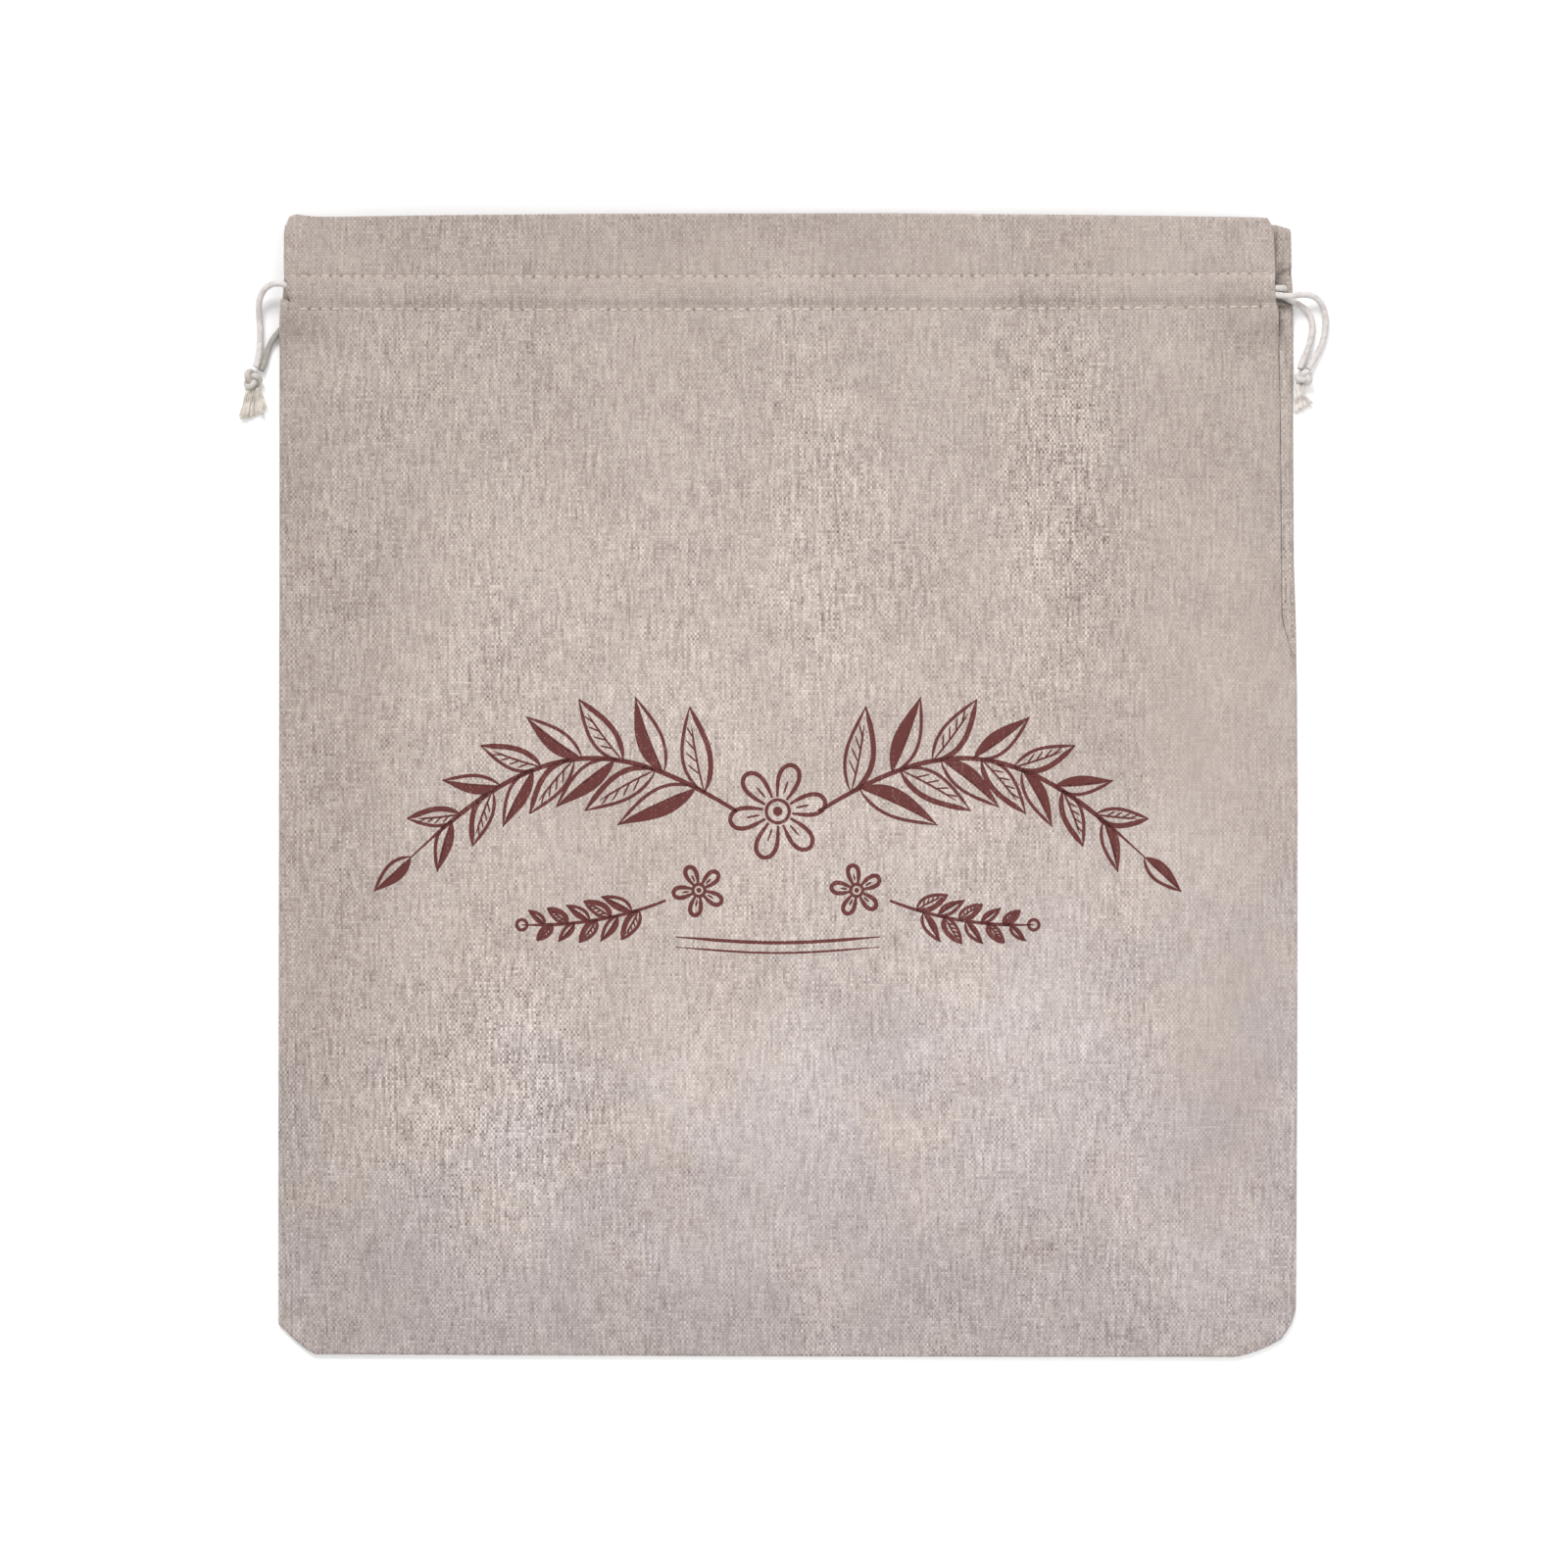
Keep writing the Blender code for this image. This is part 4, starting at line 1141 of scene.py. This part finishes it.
def lock_shapes(draw, longest, first_angle, last_angle, shortening, locks):
    """The locks of a frayed end: place across it, angle, length, bend and height of the tip."""
    shapes = []
    for lock in range(locks):
        across = 2 * (lock + 0.5) / locks - 1
        angle = mix(first_angle, last_angle, (across + 1) / 2) + draw.uniform(-0.06, 0.06)
        length = longest * draw.uniform(0.86, 1.0) * (1 - shortening * (across + 1) / 2)
        bend = draw.uniform(-0.0006, 0.0006)
        tip_z = draw.uniform(0.0006, 0.0026)
        shapes.append((across, angle, length, bend, tip_z))
    return shapes


def build_ends(name, root, fringe, finish):
    """A cord's two frayed ends: locks of fine wavy yarn that spread below the knot."""
    root_x, root_y, half_width, neck, pinch = root
    *lock_values, locks, count, seed = fringe
    draw = random.Random(seed)
    shapes = lock_shapes(draw, *lock_values, locks)
    bm = bmesh.new()
    for number in range(count):
        across, angle, length, bend, tip_z = shapes[number * locks // count]
        turn = draw.uniform(0, 2 * math.pi)
        radial = math.sqrt(draw.random())
        start_x = half_width * (0.80 * across + 0.20 * radial * math.cos(turn))
        start_z = 0.0021 + 0.0014 * radial * math.sin(turn)
        tip_x = 0.00055 * radial * math.cos(turn)
        length = length * draw.uniform(0.84, 1.0) + neck
        wave = draw.uniform(0.00005, 0.00022)
        phase = draw.uniform(0, 6.28)
        turns = draw.uniform(0.8, 1.8)
        points = []
        for k in range(YARN_SECTIONS + 1):
            share = k / YARN_SECTIONS
            down = length * share
            free = max(0.0, down - neck)
            loose = ease(free / (length - neck) * 1.4)
            narrow = 1 - pinch * math.exp(-(((down - neck) / 0.0011) ** 2))
            sway = wave * loose * math.sin(phase + 2 * math.pi * turns * share)
            x = mix(start_x * narrow, start_x * 0.9 + tip_x, loose)
            x += math.sin(angle) * free + bend * loose * loose + sway
            z = mix(start_z, tip_z + 0.6 * tip_x, ease(loose * 1.1)) + 0.6 * sway
            y = -min(down, neck) - math.cos(angle) * free
            points.append(Vector((root_x + x, root_y + y, max(z, 0.00032))))
        thick = YARN_RADIUS * draw.uniform(0.8, 1.15)
        tube(bm, points, thick, YARN_SIDES, lambda angle, travelled, share: 1 - 0.40 * share**3)
    return add_mesh(name, bm, finish)


# Print: a leafy garland with small flowers, in bold and fine lines

PRINT_LIFT = 0.00009
PRINT_STEP = 0.0009
PRINT_CENTRE = (-0.004, -0.010)
BOLD = 0.0021
MEDIUM = 0.0013
FINE = 0.0008


def on_cloth(bm, x, y):
    """A point of the print, just above the front cloth."""
    return bm.verts.new((x, y, front_surface(x, y) + PRINT_LIFT))


def ribbon(bm, points, width, taper=(0.35, 0.35), closed=False):
    """A flat brush stroke laid on the front cloth along points in plan."""
    path = evenly([Vector((x, y, 0.0)) for x, y in points], PRINT_STEP)
    rows = []
    count = len(path) - 1
    for k, point in enumerate(path):
        if closed:
            ahead = path[(k + 1) % count] - path[(k - 1) % count]
        else:
            ahead = path[min(k + 1, count)] - path[max(k - 1, 0)]
        side = Vector((-ahead.y, ahead.x, 0.0)).normalized()
        share = k / count
        end = taper[0] if share < 0.5 else taper[1]
        narrow = 1.0 if closed else mix(end, 1.0, ease(min(share, 1 - share) * 5))
        uneven = 1 + 0.10 * noise.noise(Vector((point.x * 900, point.y * 900, 5.0)))
        half = width / 2 * narrow * uneven
        rows.append([on_cloth(bm, *(point + side * half * place).xy) for place in (-1.0, 0.0, 1.0)])
    sheet_faces(bm, rows)


def filled(bm, outline):
    """A filled shape laid on the front cloth, from the lines across a closed outline."""
    half = len(outline) // 2
    left, right = outline[: half + 1], [outline[0], *reversed(outline[half:])]
    rows = []
    for a, b in zip(left, right):
        rows.append([on_cloth(bm, mix(a[0], b[0], k / 4), mix(a[1], b[1], k / 4)) for k in range(5)])
    sheet_faces(bm, rows)


def turned(origin, angle, along, across=0.0):
    """A point placed along and across a direction from an origin, in plan."""
    x = origin[0] + along * math.cos(angle) - across * math.sin(angle)
    y = origin[1] + along * math.sin(angle) + across * math.cos(angle)
    return x, y


def heading(a, b):
    """The direction from one point in plan to another."""
    return math.atan2(b[1] - a[1], b[0] - a[0])


def circle(centre, radius, count):
    """Points round a circle, with the first one again at the end."""
    return [turned(centre, 2 * math.pi * k / count, radius) for k in range(count + 1)]


def leaf_side(base, angle, length, width, bend, sign=1):
    """One side of a pointed leaf, from its base to its tip."""
    points = []
    for k in range(15):
        t = k / 14
        swell = math.sin(math.pi * t**0.85) * (1 - 0.25 * t)
        curve = bend * length * t * t
        points.append(turned(base, angle, length * t, sign * width / 2 * swell + curve))
    return points


def leaf(bm, base, angle, length, width, bend, solid):
    """A pointed leaf: filled on one side of its vein, or drawn in outline."""
    left = leaf_side(base, angle, length, width, bend)
    right = leaf_side(base, angle, length, width, bend, -1)
    vein = leaf_side(base, angle, length, 0.0, bend)
    if solid:
        filled(bm, [*left, *reversed(vein)])
        ribbon(bm, right, MEDIUM)
        ribbon(bm, vein, FINE)
    else:
        ribbon(bm, left, MEDIUM)
        ribbon(bm, right, BOLD)
        ribbon(bm, vein[:12], FINE)
        ends = leaf_side(base, angle, length, width * 0.7, bend)
        for k in (3, 5, 7, 9):
            ribbon(bm, [vein[k], ends[k + 2]], FINE * 0.8)


def flower(bm, centre, radius, petals, turn):
    """An open flower with rounded petals and a dotted heart."""
    for p in range(petals):
        angle = turn + 2 * math.pi * p / petals
        outline = []
        for k in range(19):
            t = k / 18
            swing = math.cos(math.pi * t) * 0.34
            reach = radius * (0.30 + 0.70 * math.sin(math.pi * t) ** 0.75)
            outline.append(turned(centre, angle + swing, reach))
        ribbon(bm, outline, BOLD * 0.8, (0.6, 0.6))
        ribbon(bm, [turned(centre, angle, radius * share) for share in (0.38, 0.66)], FINE)
    ribbon(bm, circle(centre, radius * 0.24, 20), MEDIUM, closed=True)
    filled(bm, circle(centre, radius * 0.10, 12)[:-1])


def branch(bm, root, side):
    """One half of the garland: a curved stem with leaves in pairs and a bud at its end."""
    stem = []
    for k in range(41):
        t = k / 40
        x = root[0] + side * (0.016 + 0.128 * t)
        y = root[1] + 0.026 * math.sin(math.pi * 0.95 * t) - 0.022 * t * t
        stem.append((x, y))
    ribbon(bm, stem, BOLD * 0.9, (0.8, 0.3))
    for number, k in enumerate(range(4, 38, 5)):
        ahead = heading(stem[k], stem[k + 2])
        size = 0.034 - 0.0022 * number
        for up in (1, -1):
            open_angle = ahead + up * side * math.radians(47 - 3 * number)
            solid = (number + (up > 0)) % 2 == 0
            leaf(bm, stem[k + (up < 0)], open_angle, size, size * 0.36, 0.10 * up * side, solid)
    leaf(bm, stem[40], heading(stem[38], stem[40]), 0.020, 0.008, 0.0, True)


def sprig(bm, root, angle, length, side):
    """A small bent twig with short leaves and a berry at its tip."""
    stem = [turned(root, angle, length * k / 20, side * 0.22 * length * (k / 20) ** 2) for k in range(21)]
    ribbon(bm, stem, MEDIUM, (0.8, 0.4))
    for number, k in enumerate(range(4, 19, 3)):
        ahead = heading(stem[k - 1], stem[k + 1])
        size = 0.0135 - 0.0012 * number
        for up in (1, -1):
            solid = (number + (up > 0)) % 2 == 0
            open_angle = ahead + up * math.radians(50)
            leaf(bm, stem[k + (up < 0)], open_angle, size, size * 0.40, -0.12 * up, solid)
    ribbon(bm, circle(stem[20], 0.0021, 14), MEDIUM, closed=True)


def build_print(finish):
    """The garland and two sprigs, laid 0.1 mm above the front cloth."""
    bm = bmesh.new()
    centre = PRINT_CENTRE
    flower(bm, centre, 0.019, 6, 0.2)
    for side in (-1, 1):
        branch(bm, centre, side)
        small = (centre[0] + side * 0.031, centre[1] - 0.031)
        flower(bm, small, 0.010, 5, 0.5 * side)
        root = (small[0] + side * 0.013, small[1] - 0.004)
        away = math.radians(-22) if side > 0 else math.radians(202)
        sprig(bm, root, away, 0.056, side)
    for lift, width in ((-0.050, MEDIUM), (-0.054, FINE)):
        line = []
        for x in range(-40, 41, 2):
            line.append((centre[0] + x * MM, centre[1] + lift - 0.0016 * math.cos(x / 20)))
        ribbon(bm, line, width)
    return add_mesh("front_print", bm, finish)


# Stitching

STITCH_RADIUS = {ROW_LOW: 0.00055, ROW_HIGH: 0.00044}


def stitch(bm, a, b, radius):
    """One stitch: a short thread that dips into the cloth at both ends."""
    points = []
    for k in range(7):
        t = k / 6
        point = a.lerp(b, t)
        point.z += radius * (math.sin(math.pi * t) ** 0.5 - 1.15)
        points.append(point)
    tube(bm, points, radius, 6, lambda angle, travelled, share: 0.55 + 0.45 * math.sin(math.pi * share))


def stitch_row(bm, row, left, right, height):
    """A row of stitches along the channel, uneven in length, place and thickness."""
    draw = random.Random(7)
    pitch = stitch_pitch(left, right)
    for k in range(round((right - left) / pitch)):
        start = left + pitch * k + draw.uniform(-STITCH_WANDER, STITCH_WANDER)
        length = STITCH_LENGTH * draw.uniform(0.84, 1.08)
        ends = []
        for x in (start, start + length):
            y = row + row_shift(x, row) + draw.uniform(-STITCH_WANDER, STITCH_WANDER)
            ends.append(Vector((x, y, height(x, y))))
        stitch(bm, *ends, STITCH_RADIUS[row] * draw.uniform(0.72, 1.12))


def build_stitches(finish):
    """Both stitch rows of each panel, seen from outside and from inside the bag."""

    def outside(x, y):
        return front_surface(x, y) - GROOVE_DEPTH + 0.00012

    def inside(x, y):
        return front_surface(x, y) - 2 * CLOTH - 0.0001

    def on_back(x, y):
        return 2 * CLOTH - GROOVE_DEPTH * 0.6 + 0.0002

    front = bmesh.new()
    for row, left, right in STITCH_ROWS:
        stitch_row(front, row, left, right, outside)
        stitch_row(front, row, INSIDE_LEFT, INSIDE_FRONT_RIGHT, inside)
    back = bmesh.new()
    for row in (ROW_LOW, ROW_HIGH):
        stitch_row(back, row, INSIDE_LEFT, INSIDE_BACK_RIGHT, on_back)
    return add_mesh("front_stitches", front, finish), add_mesh("back_stitches", back, finish)


# Studio

# Soft square lamps, aimed at the bag: name, place, size and power
LAMPS = (
    ("key", (-1.0, 3.4, 3.1), 1.4, 126),
    ("fill", (2.6, -2.2, 4.0), 2.0, 23),
)

# A lamp above the bag that lights its middle a little more than its edges
OVERHEAD_PLACE = (0.05, -0.07, 1.5)
OVERHEAD_REACH = 0.36
OVERHEAD_POWER = 30
OVERHEAD_SOFTNESS = 0.12
SKY_STRENGTH = 0.71
FLOOR_REACH = 4.0


def link(name, data, place):
    """A camera or lamp at its place."""
    made = bpy.data.objects.new(name, data)
    made.location = place
    bpy.context.scene.collection.objects.link(made)
    return made


def build_camera():
    """Straight above the bag, with its mouth at the top of the picture."""
    data = bpy.data.cameras.new("camera")
    data.lens = LENS
    data.sensor_width = SENSOR
    data.clip_end = 20.0
    height = FACE_HEIGHT + FRAME_WIDTH * LENS / SENSOR
    bpy.context.scene.camera = link("camera", data, (*FRAME_CENTRE, height))


def build_lights():
    """Soft light that comes mostly from the upper left."""
    for name, place, size, power in LAMPS:
        data = bpy.data.lights.new(name, "AREA")
        data.size = size
        data.energy = power
        lamp = link(name, data, place)
        lamp.rotation_euler = (-Vector(place)).to_track_quat("-Z", "Y").to_euler()
    data = bpy.data.lights.new("overhead", "SPOT")
    data.energy = OVERHEAD_POWER
    data.shadow_soft_size = OVERHEAD_SOFTNESS
    data.spot_size = 2 * math.atan(OVERHEAD_REACH / OVERHEAD_PLACE[2])
    data.spot_blend = 1.0
    link("overhead", data, OVERHEAD_PLACE).visible_camera = False
    world = bpy.data.worlds.new("studio")
    world.use_nodes = True
    sky = world.node_tree.nodes["Background"]
    sky.inputs["Color"].default_value = (1.0, 1.0, 1.0, 1.0)
    sky.inputs["Strength"].default_value = SKY_STRENGTH
    bpy.context.scene.world = world
    bpy.context.scene.view_settings.view_transform = "Standard"


def build_floor():
    """A plain pale floor."""
    bm = bmesh.new()
    bmesh.ops.create_grid(bm, x_segments=1, y_segments=1, size=FLOOR_REACH)
    return add_mesh("floor", bm, Nodes("floor_finish").surface(rgba(FLOOR), roughness=0.9))


build_camera()

# Cords come first, so that their place is settled before the rest
cord_finish = cotton("cotton_cord", CORD_COLOURS, CORD_FIBRE)
# A darker copy of the cord, as painted shade on the left back strand
shaded_cord_finish = cotton("painted_shade_cord", SHADED_CORD_COLOURS, CORD_FIBRE)
# A darker copy of the cord, as painted shade on the left knot
shaded_knot_finish = cotton("painted_shade_knot", SHADED_KNOT_COLOURS, CORD_FIBRE)
yarn_finish = cotton("cotton_yarn", YARN_COLOURS, YARN_FIBRE)
pale_finish = cotton("pale_yarn", PALE_YARN_COLOURS, YARN_FIBRE)
left_knot = build_knot("left_tied_knot", LEFT_KNOT, shaded_knot_finish)
right_knot = build_knot("right_tied_knot", RIGHT_KNOT, cord_finish)
left_ends = build_ends("left_frayed_ends", LEFT_ROOT, LEFT_LOCKS, yarn_finish)
right_ends = build_ends("right_frayed_ends", RIGHT_ROOT, RIGHT_LOCKS, pale_finish)
left_tie = (LANE_UPPER, JOINT_LEFT, left_knot, left_ends)
right_tie = (LANE_LOWER, JOINT_RIGHT, right_knot, right_ends)
for name, node, front, route, (lane, joint, knot, ends), finish in (
    ("left_front_cord", "left_front_strand", True, LEFT_FRONT_ROUTE, left_tie, cord_finish),
    ("left_back_cord", "left_back_strand", False, LEFT_BACK_ROUTE, left_tie, shaded_cord_finish),
    ("right_front_cord", "right_front_strand", True, RIGHT_FRONT_ROUTE, right_tie, cord_finish),
    ("right_back_cord", "right_back_strand", False, RIGHT_BACK_ROUTE, right_tie, cord_finish),
):
    cord, path = build_strand(name, lane, front, joint, route, finish)
    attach(cord, "root")
    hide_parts(node)
left_run = build_run("left_held_cord", LANE_UPPER, JOINT_LEFT, TURN_RIGHT, cord_finish)
right_run = build_run("right_held_cord", LANE_LOWER, JOINT_RIGHT, TURN_LEFT, cord_finish)
for piece, node, slot in (
    (left_knot, "left_knot", "cotton_cord"),
    (right_knot, "right_knot", "cotton_cord"),
    (left_ends, "left_cord_ends", "cotton_yarn"),
    (right_ends, "right_cord_ends", "cotton_yarn"),
    (left_run, "left_drawstring_run", "cotton_cord"),
    (right_run, "right_drawstring_run", "cotton_cord"),
):
    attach(piece, "root")
    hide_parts(node)

# Cloth, with its stitching and print
front_finish = linen("linen_front")
front_rows = fine_rows(FRONT_MESH_PITCH)
front_columns = fine_columns(FRONT_MESH_PITCH)
front_cloth = build_cloth("front_cloth", front_place, front_rows, front_columns, front_finish)
back_finish = linen("linen_back", 0.985, local=False)
back_rows = fine_rows(BACK_MESH_PITCH)
back_columns = [*fine_columns(BACK_MESH_PITCH), *STRIP_COLUMNS]
back_cloth = build_cloth("back_cloth", back_place, back_rows, back_columns, back_finish)
for cloth, node, slot, below in (
    (front_cloth, "front_panel", "linen_front", "back_cloth"),
    (back_cloth, "back_panel", "linen_back", "floor"),
):
    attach(cloth, "root")
    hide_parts(node)
front_stitches, back_stitches = build_stitches(cotton("sewing_thread", THREAD_COLOURS, THREAD_FIBRE))
front_print = build_print(ink("print_ink"))
for piece, slot in (
    (front_stitches, "linen_front"),
    (back_stitches, "linen_back"),
    (front_print, "linen_front"),
):
    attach(piece, "root")

build_floor()
build_lights()
